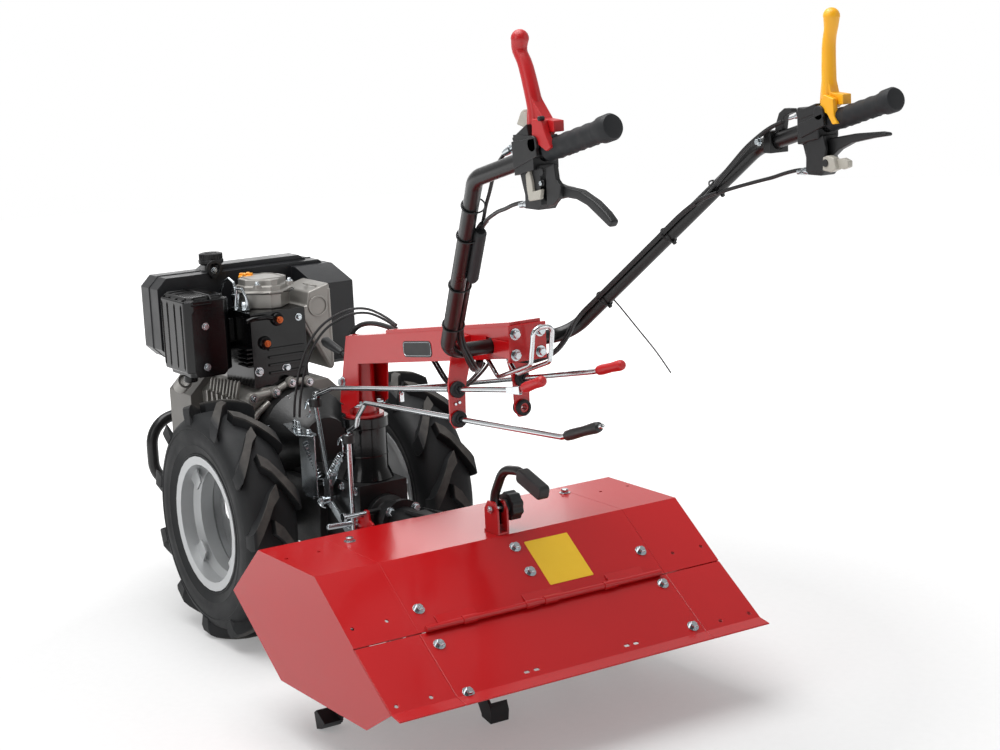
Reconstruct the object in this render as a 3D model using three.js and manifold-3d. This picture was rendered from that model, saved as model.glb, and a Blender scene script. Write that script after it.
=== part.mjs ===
// A two-wheel walking tractor with a diesel engine and a rear rotary tiller, in millimetres.
// +X is forward, towards the engine, +Y is the machine's left and +Z is up. The pieces are
// placed from the point on the ground under the axle, and the whole group is moved at the end
// so that the origin is the middle of its bounding box, on the ground.
import * as THREE from "three";
import { mergeVertices } from "three/addons/utils/BufferGeometryUtils.js";
import Module from "manifold-3d";

const wasm = await Module();
wasm.setup();

// ---- driving dimensions ----
const gap = 0.3; // between pieces that touch

const wheel = {
  radius: 250,
  tyreWidth: 118,
  track: 414, // between the middles of the two tyres
  beadRadius: 127,
  flangeRadius: 142,
  rimWidth: 106,
  sides: 32, // flats round the tyre and the rim, so that they match
  discInset: 42, // from the tyre's middle to the disc, towards the machine
};
const axle = {
  height: wheel.radius,
  shaftRadius: 18,
  boreRadius: 18.9,
  housingRadius: 40,
  flangeRadius: 52,
};

const gearbox = { front: 40, rear: -300, halfWidth: 55, bottom: 178, top: 350 };
const bell = { height: 388, radius: 106, rear: -62 };
const column = { x: -240, radius: 42, collarRadius: 47, top: 478 };

const engine = { rear: 60, front: 300, halfWidth: 112, bottom: 285, top: 500 };
const fan = { front: 455, halfWidth: 140, bottom: 300, top: 505 };
const cylinder = { front: 205, right: -36, left: 92, top: 660 };
const rocker = { x: 158, y: 16, length: 132, width: 112, top: 722 };
const tank = { rear: 263, front: 352, left: 214, right: -200, bottom: 552, top: 728 };
const tankLobe = { rear: 150, inner: -108, bottom: 510, top: 690 };
const cap = { x: 290, y: 72, radius: 21, height: 26 };
const muffler = { rear: 115, front: 258, right: 113, left: 216, bottom: 530, top: 702 };
const guard = { x: 498, halfWidth: 158, bottom: 215, top: 376, radius: 14, bend: 62 };

const sheet = 3; // of the tiller's hood and of the handlebar beam
const hood = {
  width: 781,
  centreWidth: 527,
  top: 335,
  frontX: -528,
  noseX: -407,
  noseZ: 231,
  foldX: -747,
  hingeX: -875,
  hingeZ: 239,
  lipX: -993,
  lipZ: 157,
  heelX: -903,
  toeX: -586,
  bottom: 103,
  lip: 27,
};
const rotor = {
  x: -692,
  height: 143,
  radius: 170.5,
  shaftRadius: 17,
  halfLength: 352,
  flangeRadius: 62,
  tines: 3, // on each flange
  rest: 33, // degrees from straight down to the two rows of tips that stand on the ground
};
const driveCase = { rear: -745, front: -640, halfWidth: 26, tube: 34 };

const beam = {
  halfWidth: 35,
  height: 57,
  slope: 0.153, // rise for each millimetre rearwards
  frontX: -245,
  frontTop: 645,
  rearX: -845,
  legFront: -204,
  legRear: -278,
  legTip: 494,
  lidFront: -404,
  lidHeight: 7,
};
const disc = { radius: 39, thickness: 6 };
const pivot = { x: -786, z: 695, radius: 14.5 };
const loop = {
  pinX: -742,
  elbowX: -781,
  elbowZ: 636,
  cornerX: -889,
  cornerZ: 673,
  topX: -901,
  topZ: 738,
  half: 20,
  wire: 4,
};
const clamp = { halfWidth: 39, bottom: 673, top: 738, plate: 6, jawHalf: 38 };
const guide = {
  x: -717,
  y: 69,
  upper: 612,
  lower: 558,
  thickness: 4,
  bush: 14.5,
};
// The rise of each rod through its bush, for each millimetre rearwards.
const rodSlope = { shift: 0.143, drive: 0.067, speed: 0.193 };
const rod = { radius: 5, handle: 9.5, clearance: 0.8 };

const bar = { radius: 13, grip: 16.8, gripLength: 156, bend: 60 };
const gripEnd = new THREE.Vector3(-1493, 263, 1124.6);
const upperBend = new THREE.Vector3(-1150, 277, 1034);
const elbow = new THREE.Vector3(-793, 131, 697);

// ---- colours ----
const paint = {
  red: { color: 0xc4161c, roughness: 0.25, metalness: 0.1 },
  redPlastic: { color: 0xd12a2e, roughness: 0.45, metalness: 0 },
  yellow: { color: 0xf2b01e, roughness: 0.45, metalness: 0 },
  black: { color: 0x1c1d1f, roughness: 0.45, metalness: 0.1 },
  blackGloss: { color: 0x121214, roughness: 0.2, metalness: 0.1 },
  plastic: { color: 0x2b2c2f, roughness: 0.6, metalness: 0 },
  rubber: { color: 0x26282b, roughness: 0.8, metalness: 0 },
  aluminium: { color: 0x9a9a98, roughness: 0.5, metalness: 0.6 },
  silver: { color: 0xc9cac9, roughness: 0.4, metalness: 0.4 },
  zinc: { color: 0xb9c0c4, roughness: 0.3, metalness: 0.8 },
  chrome: { color: 0xdfe3e5, roughness: 0.12, metalness: 1 },
  steel: { color: 0x55585b, roughness: 0.5, metalness: 0.7 },
};

const tractor = new THREE.Group();
tractor.name = "walking_tractor";

// ---- small tools for solids ----
const v3 = (x, y, z) => new THREE.Vector3(x, y, z);

function solid(geometry) {
  const plain = geometry.clone();
  plain.deleteAttribute("normal");
  plain.deleteAttribute("uv");
  const merged = mergeVertices(plain, 1e-4);
  const mesh = new wasm.Mesh({
    numProp: 3,
    vertProperties: merged.attributes.position.array,
    triVerts: new Uint32Array(merged.index.array),
  });
  return new wasm.Manifold(mesh);
}

function join(...solids) {
  return wasm.Manifold.union(solids.flat());
}

function cut(body, ...tools) {
  return wasm.Manifold.difference([body, ...tools.flat()]);
}

function add(name, body, finish) {
  const made = body.getMesh();
  const geometry = new THREE.BufferGeometry();
  const places = new Float32Array(made.numVert * 3);
  for (let i = 0; i < made.numVert; i++) {
    places.set(made.vertProperties.subarray(i * made.numProp, i * made.numProp + 3), i * 3);
  }
  geometry.setAttribute("position", new THREE.BufferAttribute(places, 3));
  geometry.setIndex(new THREE.BufferAttribute(new Uint32Array(made.triVerts), 1));
  geometry.computeVertexNormals();
  const mesh = new THREE.Mesh(geometry, new THREE.MeshStandardMaterial(finish));
  mesh.name = name;
  tractor.add(mesh);
  return mesh;
}

function box(x0, x1, y0, y1, z0, z1) {
  const geometry = new THREE.BoxGeometry(Math.abs(x1 - x0), Math.abs(y1 - y0), Math.abs(z1 - z0));
  geometry.translate((x0 + x1) / 2, (y0 + y1) / 2, (z0 + z1) / 2);
  return solid(geometry);
}

function round(from, to, radius, endRadius = radius, sides = 16) {
  const along = to.clone().sub(from);
  const geometry = new THREE.CylinderGeometry(endRadius, radius, along.length(), sides);
  const turn = new THREE.Quaternion().setFromUnitVectors(v3(0, 1, 0), along.clone().normalize());
  geometry.applyQuaternion(turn);
  geometry.translate(...from.clone().add(to).multiplyScalar(0.5).toArray());
  return solid(geometry);
}

// A profile of [radius, distance] points, anticlockwise, turned about a line along Y.
function turned(profile, x, y, z, sides) {
  const points = profile.map(([r, d]) => new THREE.Vector2(r, d));
  if (THREE.ShapeUtils.area(points) < 0) points.reverse();
  points.push(points[0].clone());
  const geometry = new THREE.LatheGeometry(points, sides);
  geometry.translate(x, y, z);
  return solid(geometry);
}

// The same about a line along X.
function turnedAlongX(profile, x, y, z, sides = 24) {
  const points = profile.map(([r, d]) => new THREE.Vector2(r, d));
  if (THREE.ShapeUtils.area(points) < 0) points.reverse();
  points.push(points[0].clone());
  const geometry = new THREE.LatheGeometry(points, sides);
  geometry.rotateZ(-Math.PI / 2);
  geometry.translate(x, y, z);
  return solid(geometry);
}

const outline = (points) => new THREE.Shape(points.map(([a, b]) => new THREE.Vector2(a, b)));

// An outline in X and Z, as thick as y0 to y1.
function side(points, y0, y1) {
  const geometry = new THREE.ExtrudeGeometry(outline(points), {
    depth: y1 - y0,
    bevelEnabled: false,
  });
  geometry.rotateX(Math.PI / 2);
  geometry.translate(0, y1, 0);
  return solid(geometry);
}

// An outline in Y and Z, as thick as x0 to x1.
function across(points, x0, x1) {
  const geometry = new THREE.ExtrudeGeometry(outline(points), {
    depth: x1 - x0,
    bevelEnabled: false,
  });
  const basis = new THREE.Matrix4().makeBasis(v3(0, 1, 0), v3(0, 0, 1), v3(1, 0, 0));
  geometry.applyMatrix4(basis);
  geometry.translate(x0, 0, 0);
  return solid(geometry);
}

// An outline in X and Y, as thick as z0 to z1.
function flat(points, z0, z1) {
  const geometry = new THREE.ExtrudeGeometry(outline(points), {
    depth: z1 - z0,
    bevelEnabled: false,
  });
  geometry.translate(0, 0, z0);
  return solid(geometry);
}

// A rectangle with corners cut at 45 degrees.
function chamfered(a0, a1, b0, b1, c) {
  return [
    [a0 + c, b0],
    [a1 - c, b0],
    [a1, b0 + c],
    [a1, b1 - c],
    [a1 - c, b1],
    [a0 + c, b1],
    [a0, b1 - c],
    [a0, b0 + c],
  ];
}

// A path of straight runs with round bends of one radius at the inner points.
function bentPath(points, bend) {
  const path = new THREE.CurvePath();
  const last = points.length - 1;
  const corners = points.map((p, i) => {
    if (i === 0 || i === last) return { enter: p, leave: p };
    const toward = (q) => p.clone().lerp(q, Math.min(bend / p.distanceTo(q), 0.45));
    return { enter: toward(points[i - 1]), leave: toward(points[i + 1]), corner: p };
  });
  corners.forEach((c, i) => {
    if (c.corner) path.add(new THREE.QuadraticBezierCurve3(c.enter, c.corner, c.leave));
    if (i < last) path.add(new THREE.LineCurve3(c.leave, corners[i + 1].enter));
  });
  return path;
}

// A path of short straight steps from place to place, one step of a sweep for each.
class StepPath extends THREE.Curve {
  constructor(places) {
    super();
    this.places = places;
  }

  getPoint(t) {
    const last = this.places.length - 1;
    const step = Math.min(Math.floor(t * last + 1e-6), last - 1);
    return this.places[step].clone().lerp(this.places[step + 1], t * last - step);
  }

  getTangent(t) {
    const last = this.places.length - 1;
    const at = Math.round(t * last);
    const here = this.places[at];
    const before = this.places[Math.max(at - 1, 0)];
    const after = this.places[Math.min(at + 1, last)];
    const arriving = here.clone().sub(before).normalize();
    const leaving = after.clone().sub(here).normalize();
    return arriving.add(leaving).normalize();
  }

  getUtoTmapping(u) {
    return u;
  }
}

// A round bar along a bent path, with rings only where it bends.
function bentBar(points, radius, bend, sides = 8, ringsInBend = 4) {
  const places = [];
  bentPath(points, bend).curves.forEach((curve) => {
    const rings = curve.isLineCurve3 ? 1 : ringsInBend;
    for (let i = 0; i < rings; i++) places.push(curve.getPoint(i / rings));
  });
  places.push(points[points.length - 1]);
  return tube(places, radius, sides);
}

function tube(places, radius, sides) {
  const section = [];
  for (let k = 0; k < sides; k++) {
    const turn = (2 * Math.PI * k) / sides;
    section.push([radius * Math.cos(turn), radius * Math.sin(turn)]);
  }
  const geometry = new THREE.ExtrudeGeometry(outline(section), {
    steps: places.length - 1,
    extrudePath: new StepPath(places),
  });
  return solid(geometry);
}

const mirrorY = (points) => points.map((p) => v3(p.x, -p.y, p.z));

// ---- wheels ----
function makeTyre(name, y) {
  const half = wheel.tyreWidth / 2;
  const bead = wheel.beadRadius + gap;
  const wall = 9;
  const beadHalf = wheel.rimWidth / 2 - 6;
  const profile = [
    [bead, -beadHalf],
    [wheel.flangeRadius + 4, -beadHalf - 2],
    [wheel.flangeRadius + 34, -half],
    [wheel.radius - 20, -half + 1],
    [wheel.radius, -half + 18],
    [wheel.radius, half - 18],
    [wheel.radius - 20, half - 1],
    [wheel.flangeRadius + 34, half],
    [wheel.flangeRadius + 4, beadHalf + 2],
    [bead, beadHalf],
    [bead, beadHalf - 12],
    [wheel.radius - 20, half - wall - 2],
    [wheel.radius - 20, -half + wall + 2],
    [bead, -beadHalf + 12],
  ];
  add(name, turned(profile, 0, y, axle.height, wheel.sides), paint.rubber);
}

function makeRim(name, y) {
  const half = wheel.rimWidth / 2;
  const r = wheel.beadRadius;
  const well = r - 15;
  const barrel = turned(
    [
      [wheel.flangeRadius, -half],
      [wheel.flangeRadius, -half + sheet],
      [r, -half + 5],
      [r, -24],
      [well, -14],
      [well, 10],
      [r, 20],
      [r, half - 5],
      [wheel.flangeRadius, half - sheet],
      [wheel.flangeRadius, half],
      [r - sheet, half - 2],
      [r - sheet, 22],
      [well - sheet, 12],
      [well - sheet, -16],
      [r - sheet, -26],
      [r - sheet, -half + 2],
    ],
    0, y, axle.height, wheel.sides,
  );
  const inward = -Math.sign(y);
  const face = y + inward * wheel.discInset;
  const disc = turned(
    [
      [axle.shaftRadius + 6, -2],
      [r - 1, -2],
      [r - 1, 2],
      [axle.shaftRadius + 6, 2],
    ],
    0, face, axle.height, wheel.sides,
  );
  const windows = [0, 1, 2, 3].map((k) => {
    const turn = (k * Math.PI) / 2;
    const x = 82 * Math.cos(turn);
    const z = axle.height + 82 * Math.sin(turn);
    return round(v3(x, face - 10, z), v3(x, face + 10, z), 29, 29, 12);
  });
  const tabs = [0, 1, 2, 3].map((k) => makeRimTab(y, -inward, ((k + 0.5) * Math.PI) / 2));
  add(name, join(cut(disc, windows), barrel, tabs), paint.silver);
}

// One of the four lugs inside the rim's outer edge.
function makeRimTab(y, outward, turn) {
  const depth = 34;
  const outer = wheel.beadRadius - 1;
  const place = y + outward * 30;
  const tab = side(
    [
      [outer - depth, -15],
      [outer, -21],
      [outer, 21],
      [outer - depth, 15],
    ],
    place - 2, place + 2,
  );
  return tab.rotate([0, (-turn * 180) / Math.PI, 0]).translate([0, 0, axle.height]);
}

// A half shaft with the flange that the wheel's disc is bolted to.
function makeAxle(name, y) {
  const outward = Math.sign(y);
  const seat = y - outward * (wheel.discInset + 2 + gap);
  const inner = outward * (gearbox.halfWidth + 34);
  const line = (d) => v3(0, d, axle.height);
  const body = join(
    round(line(inner), line(seat + outward * 14), axle.shaftRadius),
    round(line(seat - outward * 10), line(seat), axle.flangeRadius, axle.flangeRadius, 32),
    round(line(seat - outward * 34), line(seat - outward * 10), 26, 34, 24),
  );
  add(name, body, paint.steel);
}

// ---- gearbox, clutch bell and column ----
function makeGearbox() {
  const g = gearbox;
  const body = side(
    [
      [g.rear, 232],
      [-250, 200],
      [-120, g.bottom],
      [0, g.bottom],
      [g.front, 205],
      [g.front, 320],
      [-60, g.top],
      [g.rear, g.top],
    ],
    -g.halfWidth, g.halfWidth,
  );
  const flare = side(
    [
      [-150, 190],
      [20, 190],
      [30, 330],
      [-160, 330],
    ],
    -72, 72,
  );
  const clutch = turnedAlongX(
    [
      [0, bell.rear],
      [56, bell.rear],
      [62, bell.rear + 26],
      [bell.radius - 6, engine.rear - 44],
      [bell.radius, engine.rear - 36],
      [bell.radius, engine.rear - gap],
      [0, engine.rear - gap],
    ],
    0, 0, bell.height,
  );
  const reach = gearbox.halfWidth + 72;
  const left = round(v3(0, 0, axle.height), v3(0, reach, axle.height), axle.housingRadius);
  const right = round(v3(0, 0, axle.height), v3(0, -reach, axle.height), axle.housingRadius);
  const seat = (d) => v3(0, d, axle.height);
  const stop = gearbox.halfWidth + 33;
  const bores = [
    round(seat(stop), seat(reach + 5), axle.boreRadius),
    round(seat(-stop), seat(-reach - 5), axle.boreRadius),
  ];
  add("gearbox", cut(join(body, flare, clutch, left, right), bores), paint.black);
}

function makeColumn() {
  const base = gearbox.top + gap;
  const body = join(
    round(v3(column.x, 0, base), v3(column.x, 0, base + 22), column.radius + 10, column.radius),
    round(v3(column.x, 0, base), v3(column.x, 0, column.top), column.radius, column.radius, 28),
    round(
      v3(column.x, 0, column.top - 22), v3(column.x, 0, column.top),
      column.collarRadius, column.collarRadius, 28,
    ),
  );
  add("steering_column", body, paint.blackGloss);
}

// ---- engine ----
function makeCrankcase() {
  const e = engine;
  const body = across(chamfered(-e.halfWidth, e.halfWidth, e.bottom, e.top, 34), e.rear, e.front - gap);
  const rim = turnedAlongX(
    [
      [0, e.rear],
      [bell.radius + 6, e.rear],
      [bell.radius + 6, e.rear + 14],
      [0, e.rear + 14],
    ],
    0, 0, bell.height,
  );
  const fins = [];
  for (let i = 0; i < 6; i++) {
    const x = e.rear + 62 + i * 26;
    fins.push(box(x, x + 7, e.halfWidth - 6, e.halfWidth + 9, e.bottom + 60, e.top - 26));
  }
  const feet = box(e.rear + 20, e.front - 40, -90, 90, e.bottom - 34, e.bottom + 2);
  add("engine_crankcase", join(body, rim, fins, feet), paint.aluminium);
}

function makeFanHousing() {
  const f = fan;
  const wide = across(chamfered(-f.halfWidth, f.halfWidth, f.bottom, f.top, 48), engine.front, f.front - 40);
  const nose = turnedAlongX(
    [
      [0, f.front - 42],
      [118, f.front - 42],
      [96, f.front - 12],
      [62, f.front],
      [0, f.front],
    ],
    0, 0, (f.bottom + f.top) / 2,
  );
  add("fan_housing", join(wide, nose), paint.aluminium);
}

function makeCylinder() {
  const c = cylinder;
  const body = box(engine.rear + 8, c.front, c.right, c.left, engine.top + gap, c.top);
  const ribs = [0, 1, 2, 3].map((i) => {
    const z = engine.top + 26 + i * 17;
    return box(engine.rear + 3, engine.rear + 9, c.right + 8, c.left - 36, z, z + 5);
  });
  add("cylinder_shroud", join(body, ribs), paint.blackGloss);
}

function makeRockerCover() {
  const r = rocker;
  const shape = (grow) =>
    chamfered(
      r.x - r.length / 2 - grow, r.x + r.length / 2 + grow,
      r.y - r.width / 2 - grow, r.y + r.width / 2 + grow, 42,
    );
  const skirt = flat(shape(-3), cylinder.top + gap, r.top - 14);
  const lip = flat(shape(1), r.top - 30, r.top - 25);
  const lid = flat(shape(-7), r.top - 14, r.top);
  add("rocker_cover", join(skirt, lip, lid), paint.aluminium);
}

// The cast duct that leads the cooling air to the cylinder, right of it.
function makeAirDuct() {
  const near = cylinder.right - gap;
  const far = tankLobe.inner + gap;
  const rear = engine.rear + 24;
  const body = across(
    [
      [far, engine.top + 14],
      [far + 12, engine.top + 14],
      [near - 26, engine.top + 74],
      [near, engine.top + 120],
      [near, cylinder.top - 2],
      [near - 14, cylinder.top - 2],
      [near - 20, rocker.top - 34],
      [far, rocker.top - 20],
    ],
    rear, cylinder.front,
  );
  add("air_duct", body, paint.aluminium);
}

function makeTank() {
  const t = tank;
  const main = across(chamfered(t.right, t.left, t.bottom, t.top, 22), t.rear, t.front);
  const ridge = across(
    [
      [t.right + 40, t.top - 1],
      [t.left - 120, t.top - 1],
      [t.left - 140, t.top + 12],
      [t.right + 60, t.top + 12],
    ],
    t.rear + 24, t.front - 16,
  );
  const lobe = side(
    [
      [tankLobe.rear, tankLobe.bottom + 10],
      [tankLobe.rear + 12, tankLobe.bottom],
      [t.rear + 40, tankLobe.bottom + 20],
      [t.rear + 40, t.top - 8],
      [t.rear - 20, t.top - 8],
      [tankLobe.rear, tankLobe.top],
    ],
    t.right, tankLobe.inner,
  );
  const neck = round(v3(cap.x, cap.y, t.top - 2), v3(cap.x, cap.y, t.top + 14), 15);
  const clearance = box(
    t.rear - 1, rocker.x + rocker.length / 2 + 6,
    rocker.y - rocker.width / 2 - 6, rocker.y + rocker.width / 2 + 6,
    cylinder.top - 6, rocker.top + 6,
  );
  add("fuel_tank", cut(join(main, ridge, lobe, neck), clearance), paint.plastic);
}

function makeCap() {
  const base = tank.top + 14 + gap;
  const at = (z) => v3(cap.x, cap.y, z);
  const body = join(
    round(at(base), at(base + cap.height), cap.radius, cap.radius, 24),
    round(at(base + 4), at(base + 12), cap.radius + 3, cap.radius + 3, 24),
  );
  add("fuel_cap", body, paint.plastic);
}

function makeMuffler() {
  const m = muffler;
  const shell = flat(chamfered(m.rear, m.front, m.right, m.left, 14), m.bottom + 10, m.top - 8);
  const top = flat(chamfered(m.rear + 8, m.front - 8, m.right + 8, m.left - 8, 12), m.top - 9, m.top);
  const bottom = flat(
    chamfered(m.rear + 10, m.front - 10, m.right + 10, m.left - 10, 12), m.bottom, m.bottom + 11,
  );
  const outletAt = (z) => v3(m.rear + 60, m.left - 26, z);
  const outlet = round(outletAt(m.bottom - 16), outletAt(m.bottom + 4), 15);
  const stub = box(m.rear + 30, m.rear + 78, cylinder.left + gap, m.right + 4, m.top - 110, m.top - 58);
  add("muffler", join(shell, top, bottom, outlet, stub), paint.blackGloss);
}

// The tube hoop in front of the engine, with its two stays under the fan housing.
function makeGuard() {
  const g = guard;
  const loop = [
    v3(g.x, 0, g.bottom),
    v3(g.x, g.halfWidth, g.bottom),
    v3(g.x, g.halfWidth, g.top),
    v3(g.x, -g.halfWidth, g.top),
    v3(g.x, -g.halfWidth, g.bottom),
    v3(g.x, 0, g.bottom),
  ];
  const stays = [-70, 70].map((y) =>
    box(engine.front - 62, g.x, y - 12, y + 12, g.bottom - 4, g.bottom + 4),
  );
  const risers = [-70, 70].map((y) =>
    box(engine.front - 62, engine.front - 42, y - 12, y + 12, g.bottom - 4, engine.bottom - 34 - gap),
  );
  add("front_guard", join(bentBar(loop, g.radius, g.bend, 10), stays, risers), paint.black);
}

// ---- controls between gearbox and handlebar ----
const upright = {
  first: { x: -160, top: 500, footX: -196, foot: 352 },
  second: { x: -294, top: 447, footX: -292, foot: 263 },
};

const uprightHead = 12;

function makeUprights() {
  const { first, second } = upright;
  const y = guide.y;
  const piece = (u) =>
    join(
      round(v3(u.footX, y, u.foot), v3(u.x, y, u.top + 2), 5.5, 5.5, 12),
      round(v3(u.x, y, u.top), v3(u.x, y, u.top + uprightHead), 9, 9, 16),
    );
  add("shift_upright", piece(first), paint.zinc);
  add("drive_upright", piece(second), paint.zinc);
}

// The zinc plates low on the left of the gearbox that the two uprights stand on.
function makeLinkage() {
  const { first, second } = upright;
  const inner = gearbox.halfWidth + gap;
  const y = guide.y;
  const seat = first.foot - 1.5;
  const frontPlate = side(
    [
      [first.footX - 12, 292],
      [first.footX + 14, 300],
      [first.footX + 12, seat],
      [first.footX - 12, seat],
    ],
    y - 4, y + 4,
  );
  const rearPlate = side(
    [
      [second.footX - 14, 238],
      [second.footX + 14, 240],
      [first.footX, 294],
      [first.footX, 312],
      [second.footX + 16, second.foot - gap],
      [second.footX - 14, second.foot - gap],
    ],
    y - 3, y + 3,
  );
  const pin = round(v3(first.footX, inner, 306), v3(first.footX, y + 12, 306), 7, 7, 12);
  add("shift_linkage", join(frontPlate, rearPlate, pin), paint.zinc);
}

function makeCableBracket() {
  const z = 440;
  const plate = flat(
    [
      [-36, 84],
      [-150, 112],
      [-184, 92],
      [-170, 76],
      [-36, 60],
    ],
    z - 3, z,
  );
  const apron = box(-168, -100, 78, 81, 306, z - 1);
  const foot = box(-150, -110, 72 + gap, 81, 300, 326);
  const lugs = [0, 1].map((i) =>
    round(v3(-92 - i * 14, 84, z - 1), v3(-92 - i * 14, 84, z + 18), 6, 5, 10),
  );
  add("cable_bracket", join(plate, apron, foot, lugs), paint.zinc);
}

// ---- tiller drive ----
function makeCoupling() {
  const rear = gearbox.rear - gap;
  const z = 280;
  const body = turnedAlongX(
    [
      [0, rear],
      [46, rear],
      [46, rear - 14],
      [36, rear - 18],
      [36, rear - 46],
      [44, rear - 50],
      [44, rear - 62],
      [0, rear - 62],
    ],
    0, 0, z,
  );
  const pin = round(v3(rear - 26, -52, z + 22), v3(rear - 26, 52, z + 22), 6, 6, 12);
  add("coupling", join(body, pin), paint.black);
}

function makeDriveCase() {
  const d = driveCase;
  const start = gearbox.rear - 62 - 2 * gap;
  const z = 280;
  const neck = round(v3(start, 0, z), v3(d.front - 10, 0, z), d.tube, d.tube, 20);
  const flange = round(v3(start, 0, z), v3(start - 12, 0, z), 48, 48, 24);
  const casing = side(
    [
      [d.front, 318],
      [d.rear + 14, 318],
      [d.rear, 300],
      [rotor.x - 44, rotor.height - 20],
      [rotor.x - 26, rotor.height - 46],
      [rotor.x + 26, rotor.height - 46],
      [rotor.x + 44, rotor.height - 20],
      [d.front + 4, 260],
    ],
    -d.halfWidth, d.halfWidth,
  );
  const top = hood.top - sheet - gap;
  const pads = [
    box(d.rear + 14, d.front, -d.halfWidth, d.halfWidth, 306, top),
    box(hood.frontX - 60, hood.frontX - 20, -22, 22, z + d.tube - 8, top),
  ];
  const bore = round(v3(rotor.x, -60, rotor.height), v3(rotor.x, 60, rotor.height), rotor.shaftRadius + 3);
  const stops = round(v3(rotor.x, -14, rotor.height), v3(rotor.x, 14, rotor.height), 30);
  add("drive_case", join(cut(join(neck, flange, casing, pads), bore), stops), paint.black);
}

// The red bracket on the drive case that holds the hood's front edge from below.
function makeDriveBracket() {
  const reach = { under: 12, nose: 118, half: 20, cheek: 6 };
  const z = 280 + driveCase.tube + gap;
  const top = hood.top - sheet - gap;
  const cheek = [
    [hood.frontX - reach.under, z],
    [hood.frontX + reach.nose, z],
    [hood.frontX + reach.nose - 14, z + 5],
    [hood.frontX + 12, top - 5],
    [hood.frontX, top],
    [hood.frontX - reach.under, top],
  ];
  const cheeks = [-reach.half, reach.half - reach.cheek].map((y) => side(cheek, y, y + reach.cheek));
  const foot = box(hood.frontX + 12, hood.frontX + 90, -reach.half, reach.half, z, z + 5);
  add("hood_bracket", join(cheeks, foot), paint.red);
}

// ---- rotor ----
// One L-shaped tine: a flat blade that leaves the flange and turns sideways near its tip.
function makeTine(turn, way) {
  const root = rotor.radius - 26;
  const blade = side(
    [
      [-8, -40],
      [-12, -root + 40],
      [-18, -root],
      [20, -root - 4],
      [18, -90],
      [14, -40],
    ],
    way > 0 ? 3 : -9,
    way > 0 ? 9 : -3,
  );
  const foot = side(
    [
      [-18, -root + 8],
      [-14, -root - 10],
      [0, -rotor.radius],
      [22, -root - 4],
      [18, -root + 6],
    ],
    way > 0 ? 3 : -42,
    way > 0 ? 42 : -3,
  );
  return join(blade, foot).rotate([0, -turn, 0]);
}

// Half of the rotor: shaft, three flanges and their tines. The tines stand in two rows, one
// in front of the shaft and one behind it, and only the flange named by rearRow has the rear one.
function makeRotorHalf(name, way, rearRow) {
  const start = driveCase.halfWidth + 6;
  const places = [start + 44, start + 150, start + 258];
  const pieces = [
    round(
      v3(0, way * 14.5, 0), v3(0, way * (rotor.halfLength - 30), 0),
      rotor.shaftRadius, rotor.shaftRadius, 12,
    ),
  ];
  places.forEach((y, i) => {
    const plate = rotor.flangeRadius;
    pieces.push(round(v3(0, way * y - 4, 0), v3(0, way * y + 4, 0), plate, plate, 12));
    const phase = i === rearRow ? -rotor.rest : rotor.rest;
    const footWay = i === 0 ? -way : way;
    for (let k = 0; k < rotor.tines; k++) {
      const turn = phase + (k * 360) / rotor.tines;
      pieces.push(makeTine(turn, footWay).translate([0, way * y, 0]));
    }
  });
  const body = join(pieces).translate([rotor.x, 0, rotor.height]);
  add(name, body, paint.steel);
}

// ---- hood ----
// A sheet that follows a line of [x, z] points, on the line's lower side.
function foldedSheet(line, thickness, y0, y1) {
  const points = line.map(([x, z]) => new THREE.Vector2(x, z));
  const inner = points.map((p, i) => {
    const before = points[Math.max(i - 1, 0)];
    const after = points[Math.min(i + 1, points.length - 1)];
    const first = i ? p.clone().sub(before).normalize() : after.clone().sub(p).normalize();
    const second = i < points.length - 1 ? after.clone().sub(p).normalize() : first;
    const normal = (d) => new THREE.Vector2(-d.y, d.x);
    const middle = normal(first).add(normal(second)).normalize();
    return p.clone().addScaledVector(middle, thickness / middle.dot(normal(first)));
  });
  const loop = [...points, ...inner.reverse()].map((p) => [p.x, p.y]);
  return side(loop, y0, y1);
}

const slope = new THREE.Vector2(hood.hingeX - hood.foldX, hood.hingeZ - hood.top).normalize();
const slopeUp = new THREE.Vector2(slope.y, -slope.x);
const hinge = { radius: 6 };
const hingeAt = new THREE.Vector2(hood.hingeX, hood.hingeZ).addScaledVector(slopeUp, hinge.radius + gap);

function hoodLine() {
  const noseShare = 0.45; // how far the front panel comes down towards the nose
  return [
    [
      hood.frontX + noseShare * (hood.noseX - hood.frontX),
      hood.top + noseShare * (hood.noseZ - hood.top),
    ],
    [hood.frontX, hood.top],
    [hood.foldX, hood.top],
    [hood.hingeX, hood.hingeZ],
  ];
}

function makeHood() {
  const half = hood.centreWidth / 2;
  const outer = hood.width / 2;
  const under = slopeUp.clone().multiplyScalar(sheet + gap);
  const notch = box(hood.frontX - 2, hood.noseX, -64, 64, hood.bottom, hood.top + 1);
  add("hood_centre", cut(foldedSheet(hoodLine(), sheet, -half, half), notch), paint.red);
  [["left", 1], ["right", -1]].forEach(([name, way]) => {
    const y = [way * (half + gap), way * outer].sort((a, b) => a - b);
    const wing = foldedSheet(hoodLine(), sheet, y[0], y[1]);
    const plateY = [way * (outer - sheet), way * outer].sort((a, b) => a - b);
    const plate = side(
      [
        [hood.noseX, hood.noseZ],
        [hood.frontX, hood.top],
        [hood.foldX, hood.top],
        [hood.hingeX, hood.hingeZ],
        [hood.hingeX - under.x, hood.hingeZ - under.y],
        [hood.lipX - under.x, hood.lipZ - under.y],
        [hood.heelX, hood.bottom],
        [hood.toeX, hood.bottom],
      ],
      plateY[0], plateY[1],
    );
    add("hood_" + name, join(wing, plate), paint.red);
  });
}

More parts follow.
